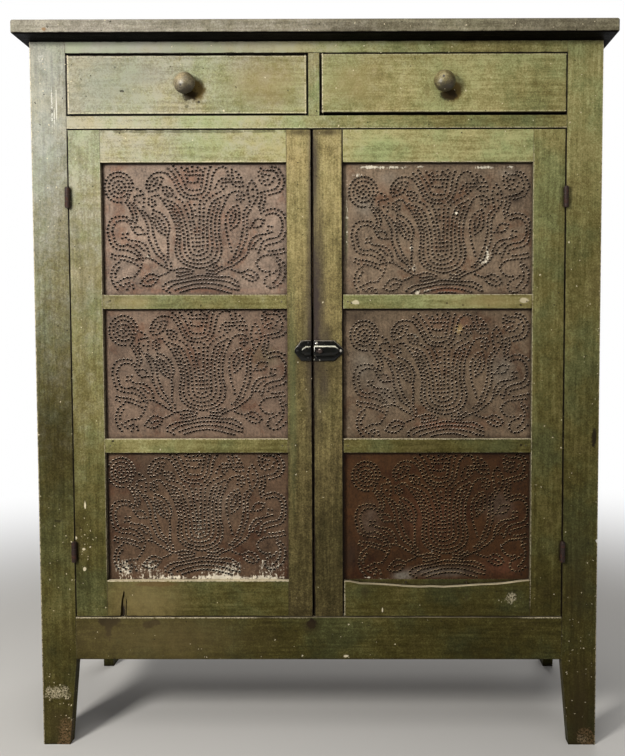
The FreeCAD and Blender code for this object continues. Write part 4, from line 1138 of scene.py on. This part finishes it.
tinSet = {
    "sight": (332.0, 235.3),       # mm, the opening that the pattern is laid out for
    "bite": 3.0,                   # mm that the punches keep from the frame
    "apart": 4.6,                  # mm, the least distance between two punches
    "crater": 2.75,                # mm, the most that a punch lifts round its middle
    "spare": 0.16,                 # mm of flat sheet left beside each punch
    "rings": ((0.87, 0.00075, 0.09), (0.74, 0.00140, 0.17)),      # share of the crater's radius, height, drop
    "radiusRange": (0.90, 1.02),
    "liftRange": (0.75, 1.2),
    "stray": 0.00015,
    "sides": 8,
    "lap": 0.0085,                 # hidden behind the frame
    "sheet": 0.0004,
    "shade": {"Z": 0.0050, "X": 0.0040, "full": 0.0015},      # how far the painted shadow reaches in from the frame
    "dirtAndShadeReach": 0.010,
    "burrHeights": (0.0004, 0.0010),
    # the painted light on the burrs comes a little from the left
    "slant": -0.25,
    "waves": ((9, 6, 0.65, 0.26), (240, 4, 0.7, 0.34), (60, 6, 0.7, 0.32), (260, 4, 0.7, 0.20)),
    "wipe": (1, 1, 0.16),
    "rustWave": (17, 6, 0.7),
    "seedStep": (1.1, 0.3, 1.9),
    "markDeep": 0.02,
    "heapSpread": 1.3,
    "raggedBy": 0.0012,
    "gloss": 0.12,
    "bump": (0.5, 0.0008),
    "seed": 11,
}

# lines of punches, drawn one by one: how many, then points in hundredths of the sight from its top left corner
punchLines = {
    "urn": """
        60: 26.8,25.1 30,23.8 32.4,27.8 34.9,32.3 36.6,36.8 38.4,42 39.7,48 40.3,54.5 39.5,63 40,70 43.1,75.2
        48.5,78.3 53,79.3 58.3,77.2 62.7,73 64.2,67 64.2,62 63.1,54 63.1,47 63.7,38.7 65.2,33.1 67.9,25
        70.3,21.8 73.9,20.9 75.6,21.7 42: 36.7,31.4 38.4,37.2 40,41.3 41.5,49 41.9,56 41.4,62.5 42.1,68.8
        44.4,73.3 48,75.4 51.9,76.1 55.5,75.4 59,73.5 61.2,69.2 62,62.5 61,53.5 60.8,47 61.4,38.8 62.7,34
        63.6,29.2 36: 38.3,32 40.3,36.7 42,42.2 43.5,50.5 44.2,58 44.1,64.6 45.7,70 48.4,72.5 51.5,73.1
        54.6,72.2 57.3,70.3 59,66 59.3,60.5 58.7,52.5 58.7,44.5 59.7,37.2 60.8,31.8 61.5,30.1 42: 33.8,26.9
        35.3,27.9 38.3,29.3 41.3,32.4 43,37.7 45,46.2 46,54 46.4,61 47.2,67 50.3,69.6 54,68.7 56.4,66.2 56.7,61
        56.5,53 56.6,45 57.5,37.2 58.7,31.4 61,27.6 64,25.8 65.8,24.2 36: 37.6,24.6 40.6,26.1 43.5,29.2
        45.4,35.1 46.9,41.3 47.9,50.4 48.6,58 49,64 51,66.3 53.6,65.5 54.4,61 54.3,54 54.6,45 54.8,36.5
        55.2,30.4 57.8,26 60.7,23.5 64.4,20.8 67.1,17 10: 46.4,28.7 48.2,34 48.8,41.3 49.8,47.5 50,51.3 9:
        53,28.1 52.5,34 52.6,41 52.2,51 3: 50,31.1 50.3,35.3 50.6,39.6 2: 50.4,54 52,53.8 2: 50.5,56.5 52.3,56.5
        2: 50.7,59.6 52.2,59.4 2: 50.8,62.7 52.3,62.5""",
    "neck": """
        5: 44.6,5.2 46.9,6.1 49,5.7 53.2,4.8 6: 45.3,8.5 47.1,8.8 50.6,8.6 54.6,8.7 6: 45.9,11.2 46.5,14
        48.4,14.3 51.3,14.4 52.1,11.3 18: 38.7,1.7 41,6.3 43,10.6 44.6,14.9 45.5,18.4 47.5,19.9 51,20.1 53,19.5
        53.8,15 54.2,11.5 54.8,6.1 55.7,3.7 22: 36,4.1 38.2,6.7 39.8,10.4 41.7,15.6 42.9,18.7 45.1,22.5 48.3,24
        51.8,23.4 54.5,22 56.1,18.2 56.7,13.2 57.5,7 58.6,2.6 36: 23.9,18.4 24.3,13.5 26.9,8.7 30,6.7 34,7.1
        36,8.4 38.7,13.3 40.5,18.6 43,24 47,26.4 51,26.7 55,25.4 58,20.5 59.1,14.4 60.3,7.5 62.4,4.1 65,2.7
        67,3.4 5: 43.2,3 45.8,3.8 48.5,2.4 51.7,2.8 54.6,1.2""",
    "neckCurls": """
        10: 61.3,21.4 61.3,18.7 62,15.8 63.5,12.6 65.1,11.5 69,11.6 72.6,10.8 75.2,10.8 5: 65.1,14.5 67.3,14.3
        69.7,13.7 70.8,15.7 2: 64.6,17.2 67.1,16.9 4: 67,3.4 67.8,6 68.4,8.8 69,11.6 4: 70.3,4.5 70.4,8
        70.9,11.3 3: 72.5,6.2 74,8.4 75.2,10.8 14: 25.2,21.1 25.5,18.2 25.9,15.4 26.8,13.4 28.5,10.8 31.1,10.4
        33.1,10.5 32.2,13.4 31.4,16.1 30.3,18.5 28.7,19.8 27.2,20.7 25.2,21.1 4: 30,12.6 29.2,14.6 28,16.5
        26.4,17.8 3: 24.9,29.1 25.1,26.7 26.8,25.1 5: 26.8,27.2 28.3,27.9 28.7,30.8 26.7,32.3 25.1,31.1 1:
        27,29.4""",
    "bell": """
        3: 72.3,14 73.7,13.8 76,14.1 3: 72.4,17.2 74.1,17.6 76.2,17 3: 73.1,23.9 75,24.6 76.8,23.9 3: 72.9,27.4
        74.5,26.8 76.5,27.1 1: 75,29.1""",
    "rightVine": """
        26: 81,12.6 82.4,15.5 83.5,18.6 84.2,23.4 83.6,26.8 81.9,30.6 79.4,36.5 78.3,39.5 78.3,43.4 78.2,48.5
        78.2,54.2 77,59.5 75.5,64.2 74.1,69.3 70.9,73.2 69.7,75.2 24: 79.6,14.8 78.6,19.5 78.9,23.5 79.5,27.5
        80,30.9 77.2,34.7 76.3,40.2 76.4,46.6 75.8,51 75.1,56.6 74,61.3 72.8,64.6 72,68 70,72.4 67.9,74.7 23:
        91.6,51.9 88.4,53.5 85,54.1 82.5,55.3 80.6,58.2 79.2,62.3 79,66.4 77.4,70.2 73.8,74.1 70.6,77.3 66,79.9
        62.7,82.1 5: 85.6,56.8 82.8,59.7 81.5,62.2 80.9,64.6 2: 83,64.7 81.5,62.2 1: 81.5,19.7 1: 81.8,24.5""",
    "paisley": """
        17: 73,31.7 71.2,32.4 68.6,35.8 67.1,39.4 66.6,44 66.8,48 67.4,54.1 68.2,59.2 69.4,64.1 69.9,69.9
        69.1,72.7 67.9,74.7 9: 73,31.7 73.9,34.3 74.1,40 73.9,44.4 72.6,47.2 70.8,49 69.5,50.2 7: 72,35.5
        69.7,39.2 69,43 69.5,46.9 70.8,49 4: 72,38.3 72,41 70.7,44.7 1: 70.7,37.3""",
    "crown": """
        10: 85.9,3.6 84.7,6.8 84.9,11.2 86.1,14.9 88.2,16.2 90.5,15.9 92.1,14.2 92.9,11.2 95,9.4 11: 95.6,4.4
        97.4,8.5 98.7,13.3 97.9,17.5 96.2,21.2 92.3,23.1 90.5,23.6 9: 95.9,12.2 95.7,14.8 94.3,18.5 91.5,20.1
        88.5,21 86,22 84.1,22.2 7: 86.1,3.8 87.8,5.3 92,5.2 94.1,6.8 95,9.4 3: 86.8,10 88.2,8.6 90.3,8.9 3:
        86.1,14.9 88,13 89.6,12.1 3: 91.8,2.7 93.7,3 95.6,4.4 1: 86.5,7.7 6: 86.2,25.1 85.9,28 85,30.8 85.1,33.8
        85.9,37.7 6: 88.1,23.5 88.2,26.3 87.9,28.7 86.9,32.8 87.5,36""",
    "rightFlower": """
        21: 85.9,37.7 88.5,35.6 92,34.2 95,35.1 98.3,38.5 99.2,43.5 99.2,50.5 98.2,56 96.1,59.1 92.3,60.6
        88.5,62.1 87.6,64.6 21: 88.7,39 91,38 93,37.8 95.1,38.8 97.2,43.4 97.3,49 96,54.2 93.5,56.4 90.5,57
        87.1,59 85.6,61.5 85.4,63.8 84.3,67.5 19: 94.4,71.4 96,73 98.2,76.5 98.8,80.6 98.2,86.5 96.5,90.5
        94,93.3 91.5,94.5 89.1,93.7 87.4,90.5 88.2,86.6 90.1,84.8 92.3,83.6 93.9,81.4 8: 94.4,74.2 95.4,76.3
        96.1,80 95.3,85.5 92.3,90.5""",
    "rightLeaves": """
        7: 80,48.8 81.2,46.5 82.1,43.8 83.4,42.2 85.2,42.2 87.5,42.8 6: 80,48.8 82.3,48.4 85,48.1 86.8,45.3
        87.5,42.8 2: 89.7,47.6 91.7,47.8 2: 89.3,50.7 91.6,51.9 8: 84.3,67.5 86.1,66.3 91.7,66.3 96,65.2
        97.9,64.7 17: 98.5,67.6 96.2,68.4 91.4,69.2 87.2,69.9 84.8,72 83.2,75 83.6,77.6 85.5,80.8 88.3,82.3
        90.7,81.8 93.9,81.4 15: 69.6,80.5 72.9,82.3 76,82.8 77.2,81.2 79,80.6 80.8,81.3 82.4,83 84.1,86
        82.8,88.6 80.5,89.4 78.2,88.2 75.9,85.8 3: 77.9,84.2 79.7,84.8 81.2,86.2""",
    "foot": """
        7: 64.6,80.6 64,78.2 62.5,79.5 60.7,81 58.7,81.3 56.2,80.6 6: 64.6,82.9 62,83.7 60.2,83.8 56.3,83.2 2:
        60,78.8 61.6,77.6 8: 36.5,80.8 38.5,80.8 40.8,79.9 42.5,79.3 44.9,79.8 47.1,80.4 48.6,81.5 5: 39.9,82.6
        41.8,83 43.9,82.2 46.1,82 6: 39.9,85.2 41.8,85.6 43.9,84.6 45.7,84.3 47.8,83.6""",
    "base": """
        24: 32.4,93 34,91 37.2,89 40,88.5 45.8,87 51.2,85.1 55.2,85.1 60.8,86 67.5,86 69.4,86.9 72.8,89.9 23:
        35.4,94.5 37,93.1 39.2,91.5 44.1,90 50.6,88.4 55.5,88.1 61.6,88.5 68.3,90 71.4,92.2 73.4,93.2 20:
        39,95.9 42.8,94 47.9,92.1 53.3,91 59.4,91.4 66.3,93.4 69.3,95.2 73.2,96.2 17: 41.8,97.8 46.5,95.8
        53,94.4 58.6,94.8 65.1,97 69,98.3 3: 32.4,95.5 34.3,96.6 35.8,97.9""",
    "leftLeaves": """
        18: 36.5,80.8 35.1,82.5 33.4,83.7 30.2,85.5 29.4,87.7 27.6,91.3 25,93.1 22.4,92.7 20,90.9 21.2,88.6
        23.5,85 26,83.6 28.6,84.8 3: 23.9,89.2 25.5,88 27.2,87.5 19: 27.6,35.1 30.8,36.8 33.7,40.3 35.4,44.3
        36.3,48.7 35.4,53.8 35,57 35.4,61 35.1,68 35.2,72.9 8: 27.2,38 29.3,40.2 31.1,41.5 33,45 33.7,48 34,50.8
        33.5,53.8 7: 25.3,41.1 27.7,41.2 29.6,43.5 31.4,47.8 32.2,49.9 6: 26.2,43.4 28,44.4 28.6,47 29.4,49
        30.3,51 31.7,52.6 5: 33,17.8 34.4,17.4 36.2,18 37.8,19.9 38.2,22.8 4: 33,20.3 34.5,20.1 36,21.7
        37.6,24.6 2: 34,23 35.5,24.5""",
    "leftLoop": """
        12: 36.5,80.8 33.1,78.3 30,75.8 27.1,73.1 24.2,71.5 21,71.6 17.9,73 11: 21.5,73.5 20.9,76.2 19.1,82.1
        17.7,84.1 16.2,86.3 12.7,86.4 10,88.3 7.5,90 16: 18.5,77 15.7,75 12,73.3 9.5,72.8 8,75.4 6,77.3 4.6,82
        4.1,86 5.2,91 7.4,95.5 7: 15.9,72.1 13.4,70.8 10,69.8 6.7,69.4 4.9,68.5 3: 4.4,71.1 6.5,72.5 8.3,73.2 4:
        8.5,78.8 7.4,81.1 6.4,83.3 6.5,86 6: 9,92.1 10.5,93.4 12,91.2 13.6,90.2 13.7,93 12.7,95.4 2: 15.7,91.9
        16.2,94.8""",
    "leftFlower": """
        23: 15,45.4 13.7,41.1 11.4,40 9,39.9 7,40.4 4.5,42.3 3.2,46.3 2.6,51 3.2,55.3 4.3,61 6,63.6 9.2,65.3
        13.1,65.8 16.6,67.7 18.3,69.8 20.5,69.2 16: 13.2,43.9 11,42.9 9.1,43.4 7.1,44.7 5.8,47.5 5.1,50.7
        5.9,55.5 6.6,59.3 7.8,61.3 10.5,62.4 13.2,61.3 14.8,62.4 16.6,63.5 12: 10.5,56.4 12.7,55.9 14.4,58
        17.7,58.5 20.2,59.2 22.8,61.5 24.5,65.9 24.9,69.3 25.8,71.9 2: 10.9,53.2 13.3,53 4: 18.2,61.4 19.8,62.5
        20.8,64.2 22.1,65.7 2: 18.1,65.4 19.4,67.2 8: 14.9,45.5 15.7,48.7 16.7,50.7 18.4,53.4 21.2,53.4 24.3,53
        7: 15.7,48.7 17.4,48 19,47.8 20.6,48.3 21.7,50.6 24.3,53 6: 14,20.4 16.4,20.5 15.2,22.9 14.2,25
        13.5,27.5""",
    "leftVine": """
        8: 12.6,29.3 13.8,31.4 15.2,34.8 16.4,39.2 16.2,42.5 14.9,45.5 10: 14.8,29.6 17,33.2 18,37 18.7,41.2
        17.4,45.1 15.7,48.7 25: 17,29.8 19.2,33.7 21,37.4 22.7,41.4 24.2,47 24.7,52.5 24.9,57.3 26.4,61.8
        27.8,66.3 29.8,69.9 32.6,72.6 34,75.5 35,79.2 20: 21.7,35.6 24.5,39.2 26.2,43.4 27,48.7 27.4,53.5
        28.5,57.8 29.5,62.3 31,66.5 33.2,70.2 35.2,72.9 36.6,75.1 36.8,77.9 9: 16.4,14.9 16.7,17.8 18.9,19
        21.2,21.4 22.6,25.8 22.4,30.5 21.7,35.6 6: 17,29.8 17.5,27.3 17.5,24.5 19.5,24.1 22,23.2 3: 18.1,31.8
        19.8,36.1 18.5,38.3 1: 20,29.1""",
}

# rings of punches in the round flower: number, middle, half width and half height in mm
punchRings = [
    (26, 9, 17.8, 25.4, 26.9), (18, 9.1, 17.6, 18.4, 19), (11, 9.1, 17.7, 11.5, 11), (4, 9.1, 17.7, 4.2, 4.4),
]


curveSteps = 24


def evenPoints(line, count):
    # a smooth curve through the line's points, cut into equal steps
    ends = [line[0]] + list(line) + [line[-1]]
    curve = []
    for a, b, c, d in zip(ends, ends[1:], ends[2:], ends[3:]):
        for step in range(curveSteps):
            t = step / curveSteps
            bend, twist = 2 * a - 5 * b + 4 * c - d, 3 * b - a - 3 * c + d
            curve.append(0.5 * (2 * b + (c - a) * t + bend * t * t + twist * t ** 3))
    curve.append(line[-1])
    runs = [0.0]
    for a, b in zip(curve, curve[1:]):
        runs.append(runs[-1] + (b - a).length)
    points = []
    at = 0
    for k in range(count):
        want = runs[-1] * k / max(1, count - 1)
        while at < len(runs) - 2 and runs[at + 1] < want:
            at += 1
        span = runs[at + 1] - runs[at] or 1.0
        points.append(curve[at].lerp(curve[at + 1], (want - runs[at]) / span))
    return points


def readLines(words):
    # each line is its number of punches and a colon, then its points
    lines = []
    for word in words:
        if word.endswith(":"):
            lines.append((int(word[:-1]), []))
        else:
            lines[-1][1].append([float(part) for part in word.split(",")])
    return lines


def punchPattern():
    wide, high = tinSet["sight"]
    found = []
    for text in punchLines.values():
        for count, line in readLines(text.split()):
            spots = [Vector((u * wide / 100, v * high / 100)) for u, v in line]
            found += spots if count == 1 else evenPoints(spots, count)
    for count, u, v, halfWide, halfHigh in punchRings:
        for k in range(count):
            turn = math.tau * k / count
            away = halfWide * math.cos(turn), halfHigh * math.sin(turn)
            found.append(Vector((u * wide / 100 + away[0], v * high / 100 + away[1])))
    kept = []
    for spot in found:
        if all((spot - other).length > tinSet["apart"] for other in kept):
            kept.append(spot)
    room = []
    for spot in kept:
        nearest = min((spot - other).length for other in kept if other != spot)
        room.append(min(tinSet["crater"], nearest / 2 - tinSet["spare"]) / 1000)
    return list(zip(kept, room))


def punchedSheet(node, look, pattern, rng):
    low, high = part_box(node)
    middle = (low + high) / 2
    halfWide = (high.x - low.x) / 2 - tinSet["lap"]
    halfHigh = (high.z - low.z) / 2 - tinSet["lap"]
    bm = bmesh.new()
    punch = bm.verts.layers.int.new("punch")
    outline = ((low.x, low.z), (high.x, low.z), (high.x, high.z), (low.x, high.z))
    corners = [bm.verts.new((x, z, 0)) for x, z in outline]
    for a, b in zip(corners, corners[1:] + corners[:1]):
        bm.edges.new((a, b))
    turned = Matrix.Rotation(math.radians(look["turn"]), 2)
    startShift = tinSet["sight"][0] / 2000 - halfWide      # laid out from the left edge of the sight
    bite = tinSet["bite"] / 1000
    centres, rooms = [], []
    for spot, room in pattern:
        flat = Vector((spot.x - tinSet["sight"][0] / 2, tinSet["sight"][1] / 2 - spot.y)) / 1000
        flat = turned @ flat + Vector(look["shift"]) / 1000
        flat += Vector((rng.uniform(-1, 1), rng.uniform(-1, 1))) * tinSet["stray"]
        flat.x += startShift
        if abs(flat.x) < halfWide - bite and abs(flat.y) < halfHigh - bite:
            centres.append(Vector((middle.x + flat.x, middle.z + flat.y, 0)))
            rooms.append(room)
    for k, centre in enumerate(centres):
        place = Matrix.Translation(centre) @ Matrix.Rotation(rng.uniform(0, math.tau), 4, "Z")
        radius = rooms[k] * rng.uniform(*tinSet["radiusRange"])
        ring = bmesh.ops.create_circle(bm, cap_ends=False, segments=tinSet["sides"], radius=radius, matrix=place)
        for vert in ring["verts"]:
            vert[punch] = k + 1
    rims = [edge for edge in bm.edges if edge.verts[0][punch]]
    bmesh.ops.triangle_fill(bm, edges=bm.edges[:], use_beauty=True, use_dissolve=False, normal=(0, 0, 1))
    before, dropped = 1.0, 0.0
    lifts = [rng.uniform(*tinSet["liftRange"]) for centre in centres]
    for share, rise, drop in tinSet["rings"]:
        grown = bmesh.ops.extrude_edge_only(bm, edges=rims)["geom"]
        for vert in [part for part in grown if isinstance(part, bmesh.types.BMVert)]:
            k = vert[punch] - 1
            flat = Vector((vert.co.x, vert.co.y + dropped * rooms[k], 0))
            flat = centres[k] + (flat - centres[k]) * share / before
            vert.co = (flat.x, flat.y - drop * rooms[k], rise * lifts[k])
        rims = [part for part in grown if isinstance(part, bmesh.types.BMEdge)]
        before, dropped = share, drop
    bmesh.ops.recalc_face_normals(bm, faces=bm.faces[:])
    bmesh.ops.solidify(bm, geom=bm.faces[:], thickness=tinSet["sheet"])
    # stand the sheet up, its burrs to the front
    stand = Matrix(((1, 0, 0, 0), (0, 0, -1, low.y + tinSet["sheet"]), (0, 1, 0, 0), (0, 0, 0, 1)))
    bmesh.ops.transform(bm, matrix=stand, verts=bm.verts)
    return bm


# each tin's burr colour is the painted highlight on its burrs' upper sides
tinNodes = {
    "left_door_upper_tin": {
        "body": "left_door", "shift": (0, 0), "turn": 0, "seed": 1, "colour": (0.19, 0.136, 0.099),
        "burr": (0.76, 0.63, 0.53),
        "marks": [
            ("rust", -0.23, 1.035, 0.05, 0.035, 0.6), ("rust", -0.16, 0.96, 0.05, 0.05, 0.3),
            ("rust", -0.22, 0.835, 0.16, 0.008, 0.6), ("soot", -0.22, 0.86, 0.08, 0.04, 0.4),
            ("flake", -0.305, 0.897, 0.003, 0.003, 0.9),
        ],
    },
    "left_door_middle_tin": {
        "body": "left_door", "shift": (4.1, 3.0), "turn": 0, "seed": 2, "colour": (0.14, 0.094, 0.064),
        "burr": (0.68, 0.55, 0.44),
        "marks": [
            ("moss", -0.095, 0.715, 0.04, 0.03, 0.35), ("ash", -0.3, 0.7, 0.06, 0.04, 0.25),
            ("soot", -0.36, 0.73, 0.03, 0.08, 0.35),
        ],
    },
    "left_door_lower_tin": {
        "body": "left_door", "shift": (-3.2, 5.0), "turn": 0.3, "seed": 3, "colour": (0.09, 0.054, 0.031),
        "burr": (0.76, 0.61, 0.46),
        "marks": [("soot", -0.33, 0.5, 0.1, 0.05, 0.45), ("ash", -0.2, 0.45, 0.1, 0.06, 0.2)],
        "powder": [
            (-0.355, 0.325, 0.026, 0.032, 1.0), (-0.31, 0.325, 0.026, 0.028, 1.0),
            (-0.27, 0.312, 0.03, 0.014, 0.6), (-0.185, 0.318, 0.05, 0.022, 0.95),
            (-0.15, 0.33, 0.03, 0.02, 0.6), (-0.085, 0.326, 0.04, 0.034, 0.85),
            (-0.217, 0.403, 0.02, 0.032, 0.65), (-0.3, 0.43, 0.02, 0.02, 0.4), (-0.12, 0.308, 0.07, 0.008, 0.6),
            (-0.22, 0.308, 0.16, 0.006, 0.8),
        ],
    },
    "right_door_upper_tin": {
        "body": "right_door", "shift": (7.9, -9.2), "turn": 0, "seed": 4, "colour": (0.148, 0.105, 0.068),
        "burr": (0.74, 0.6, 0.45),
        "marks": [
            ("ash", 0.085, 0.985, 0.03, 0.03, 0.5), ("ash", 0.13, 1.035, 0.03, 0.02, 0.4),
            ("rust", 0.115, 1.01, 0.02, 0.03, 0.2), ("soot", 0.355, 1.0, 0.02, 0.02, 0.8),
            ("rust", 0.235, 0.835, 0.06, 0.01, 0.9), ("soot", 0.22, 0.85, 0.1, 0.012, 0.6),
            ("ash", 0.345, 1.045, 0.03, 0.014, 0.4), ("moss", 0.052, 0.94, 0.006, 0.1, 0.6),
        ],
        "powder": [
            (0.095, 1.0545, 0.03, 0.0045, 1.4), (0.14, 1.054, 0.035, 0.004, 1.3),
            (0.185, 1.055, 0.015, 0.0035, 1.1), (0.072, 1.04, 0.016, 0.006, 1.0),
            (0.3, 1.054, 0.026, 0.0045, 1.4), (0.345, 1.055, 0.014, 0.0035, 1.2),
            (0.3056, 0.8995, 0.009, 0.024, 1.1), (0.297, 0.885, 0.01, 0.01, 0.9),
            (0.17, 0.91, 0.005, 0.006, 1.3), (0.173, 0.876, 0.007, 0.007, 1.0), (0.18, 0.83, 0.006, 0.005, 1.6),
            (0.25, 0.972, 0.004, 0.004, 1.8), (0.054, 0.97, 0.004, 0.08, 0.8), (0.2, 0.834, 0.02, 0.004, 0.9),
            (0.1, 0.935, 0.03, 0.02, 0.35),
        ],
    },
    "right_door_middle_tin": {
        "body": "right_door", "shift": (10.6, -4.9), "turn": 0.8, "seed": 5, "colour": (0.116, 0.081, 0.05),
        "burr": (0.68, 0.55, 0.42),
        "marks": [
            ("ash", 0.082, 0.7, 0.035, 0.055, 0.4), ("ash", 0.12, 0.655, 0.05, 0.05, 0.35),
            ("ash", 0.335, 0.69, 0.035, 0.05, 0.4), ("soot", 0.07, 0.785, 0.03, 0.02, 0.6),
            ("rust", 0.25, 0.775, 0.12, 0.025, 0.35), ("rust", 0.24, 0.59, 0.1, 0.015, 0.7),
            ("ochre", 0.255, 0.765, 0.012, 0.014, 0.7), ("soot", 0.27, 0.63, 0.03, 0.06, 0.3),
        ],
        "powder": [
            (0.132, 0.742, 0.012, 0.006, 0.6), (0.177, 0.753, 0.005, 0.008, 0.8),
            (0.255, 0.762, 0.005, 0.004, 0.8), (0.332, 0.765, 0.004, 0.005, 0.8),
            (0.335, 0.688, 0.014, 0.014, 0.4), (0.055, 0.622, 0.005, 0.005, 0.8),
            (0.06, 0.585, 0.012, 0.01, 0.5), (0.268, 0.728, 0.003, 0.003, 0.8), (0.2, 0.645, 0.03, 0.02, 0.15),
        ],
    },
    "right_door_lower_tin": {
        "body": "right_door", "shift": (13.8, -0.8), "turn": 0.9, "seed": 6, "colour": (0.042, 0.018, 0.006),
        "burr": (0.44, 0.31, 0.17),
        "marks": [
            ("ash", 0.094, 0.416, 0.032, 0.048, 0.2), ("ash", 0.155, 0.312, 0.03, 0.014, 0.75),
            ("ash", 0.22, 0.32, 0.1, 0.016, 0.45), ("ash", 0.33, 0.44, 0.04, 0.04, 0.2),
            ("rust", 0.2, 0.42, 0.1, 0.07, 0.25), ("rust", 0.33, 0.33, 0.06, 0.03, 0.35),
            ("soot", 0.06, 0.35, 0.02, 0.04, 0.6),
        ],
        "powder": [
            (0.094, 0.309, 0.02, 0.004, 0.9), (0.07, 0.318, 0.012, 0.008, 0.5),
            (0.118, 0.3065, 0.016, 0.003, 0.9), (0.2956, 0.434, 0.003, 0.003, 0.9),
            (0.3344, 0.369, 0.003, 0.003, 0.9), (0.208, 0.358, 0.003, 0.003, 0.9),
            (0.22, 0.302, 0.03, 0.003, 0.5),
        ],
    },
}

tinColours = {
    "rust": (0.150, 0.060, 0.032, 1),
    "soot": (0.020, 0.012, 0.008, 1),
    "ash": (0.150, 0.135, 0.108, 1),
    "moss": (0.075, 0.085, 0.040, 1),
    "ochre": (0.300, 0.210, 0.080, 1),
    "flake": (0.780, 0.710, 0.560, 1),
    "rusted": (0.66, 0.44, 0.34, 1),
}


def tinMarks(look, place, front, colour, dust, tone):
    for kind, x, z, halfWide, halfHigh, strength in look["marks"]:
        mark = spotAt(place, (x, front, z), (halfWide, tinSet["markDeep"], halfHigh))
        mark = times(mark, spread(dust, 0.35, 0.65, 0.5, 1.4), clamp=True)
        stain = darkened(tinColours[kind], timesPlus(tone, 0.6, 0.4))
        colour = laidOver(colour, mark, strength, stain)
    return colour


def tinPowder(look, place, front, colour, burr, grit, wiped, dust):
    # flakes of whitewash, in heaps, also on the burrs
    powder = 0.0
    for x, z, halfWide, halfHigh, strength in look.get("powder", ()):
        reach = (halfWide * tinSet["heapSpread"], tinSet["markDeep"], halfHigh * tinSet["heapSpread"])
        heap = spotAt(place, (x, front, z), reach)
        powder = timesPlus(heap, strength, powder)
    if "powder" in look:
        thick = plus(spread(grit, 0.36, 0.64, 0.0, 0.55), spread(wiped, 0.36, 0.64, 0.0, 0.45))
        flake = soft(minus(thick, minus(1.0, times(powder, 0.62))), 0.0, 0.25)
        colour = mixColour(times(flake, swing(dust, 0.45, 0.95)), colour, tinColours["flake"])
        burr = mixColour(times(powder, 1.4, clamp=True), burr, tinColours["flake"])
    return colour, burr


def tinFinish(name, look, low, high):
    finish, tree, shader = newFinish(name)
    place = objectPlace(tree)
    xyz, normal = axesOf(place), axesOf(trueNormal(tree))
    front = low.y
    moved = shifted(place, look["seed"], tinSet["seedStep"])
    tone = 1.0
    waves = []
    for at, (*kind, weight) in zip((moved, moved, moved, mapped(moved, tinSet["wipe"])), tinSet["waves"]):
        waves.append(noise(at, *kind))
        tone = plus(swing(waves[-1], -weight, weight), tone)
    grit, dust, wiped = waves[1:]
    colour = darkened((*look["colour"], 1), tone)
    rust = soft(noise(moved, *tinSet["rustWave"]), 0.50, 0.66)
    colour = laidOver(colour, rust, 0.7, darkened(colour, tinColours["rusted"]))
    colour = tinMarks(look, place, front, colour, dust, tone)
    # dirt and painted shade between the burrs, and painted shadow under the rail above and beside the stile on
    # the left
    dirtAndShade = soft(openness(tree, tinSet["dirtAndShadeReach"]), 0.85, 0.40, 0.0, 0.8)
    ragged = swing(dust, -tinSet["raggedBy"], tinSet["raggedBy"])
    for axis, edge, side in (("Z", high.z - tinSet["lap"], -1), ("X", low.x + tinSet["lap"], 1)):
        reach = (edge + side * tinSet["shade"][axis], edge + side * tinSet["shade"]["full"])
        dirtAndShade = maths("MAXIMUM", dirtAndShade, soft(plus(xyz[axis], ragged), *reach, 0.0, 0.95))
    colour = mixColour(dirtAndShade, colour, tinColours["soot"])
    colour, bright = tinPowder(look, place, front, colour, (*look["burr"], 1), grit, wiped, dust)
    # a painted highlight, with wear, on the burrs' upper sides, and painted shade on their lower sides
    burr = spread(xyz["Y"], *[front - height for height in tinSet["burrHeights"]])
    up = timesPlus(normal["X"], tinSet["slant"], normal["Z"])
    colour = mixColour(times(burr, soft(up, 0.35, -0.05, 0.0, 0.85)), colour, tinColours["soot"])
    paintedHighlight = times(times(burr, soft(up, 0.15, 0.55)), spread(dust, 0.35, 0.6, 0.35, 1.0))
    colour = mixColour(paintedHighlight, colour, bright)
    setShader(shader, colour, spread(plus(grit, dust), 0.7, 1.3, 0.42, 0.7), tinSet["gloss"])
    addBump(shader, timesPlus(dust, 0.8, grit), tinSet["bump"])
    return finish


pattern = punchPattern()
for node, look in tinNodes.items():
    sheet = punchedSheet(node, look, pattern, random.Random(tinSet["seed"] + look["seed"]))
    finish = tinFinish(node + "Plate", look, *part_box(node))
    makePiece(node.replace("tin", "punched_tin"), sheet, look["body"], finish, [node])
print("tins punched,", len(pattern), "punches in the pattern")

print("done")
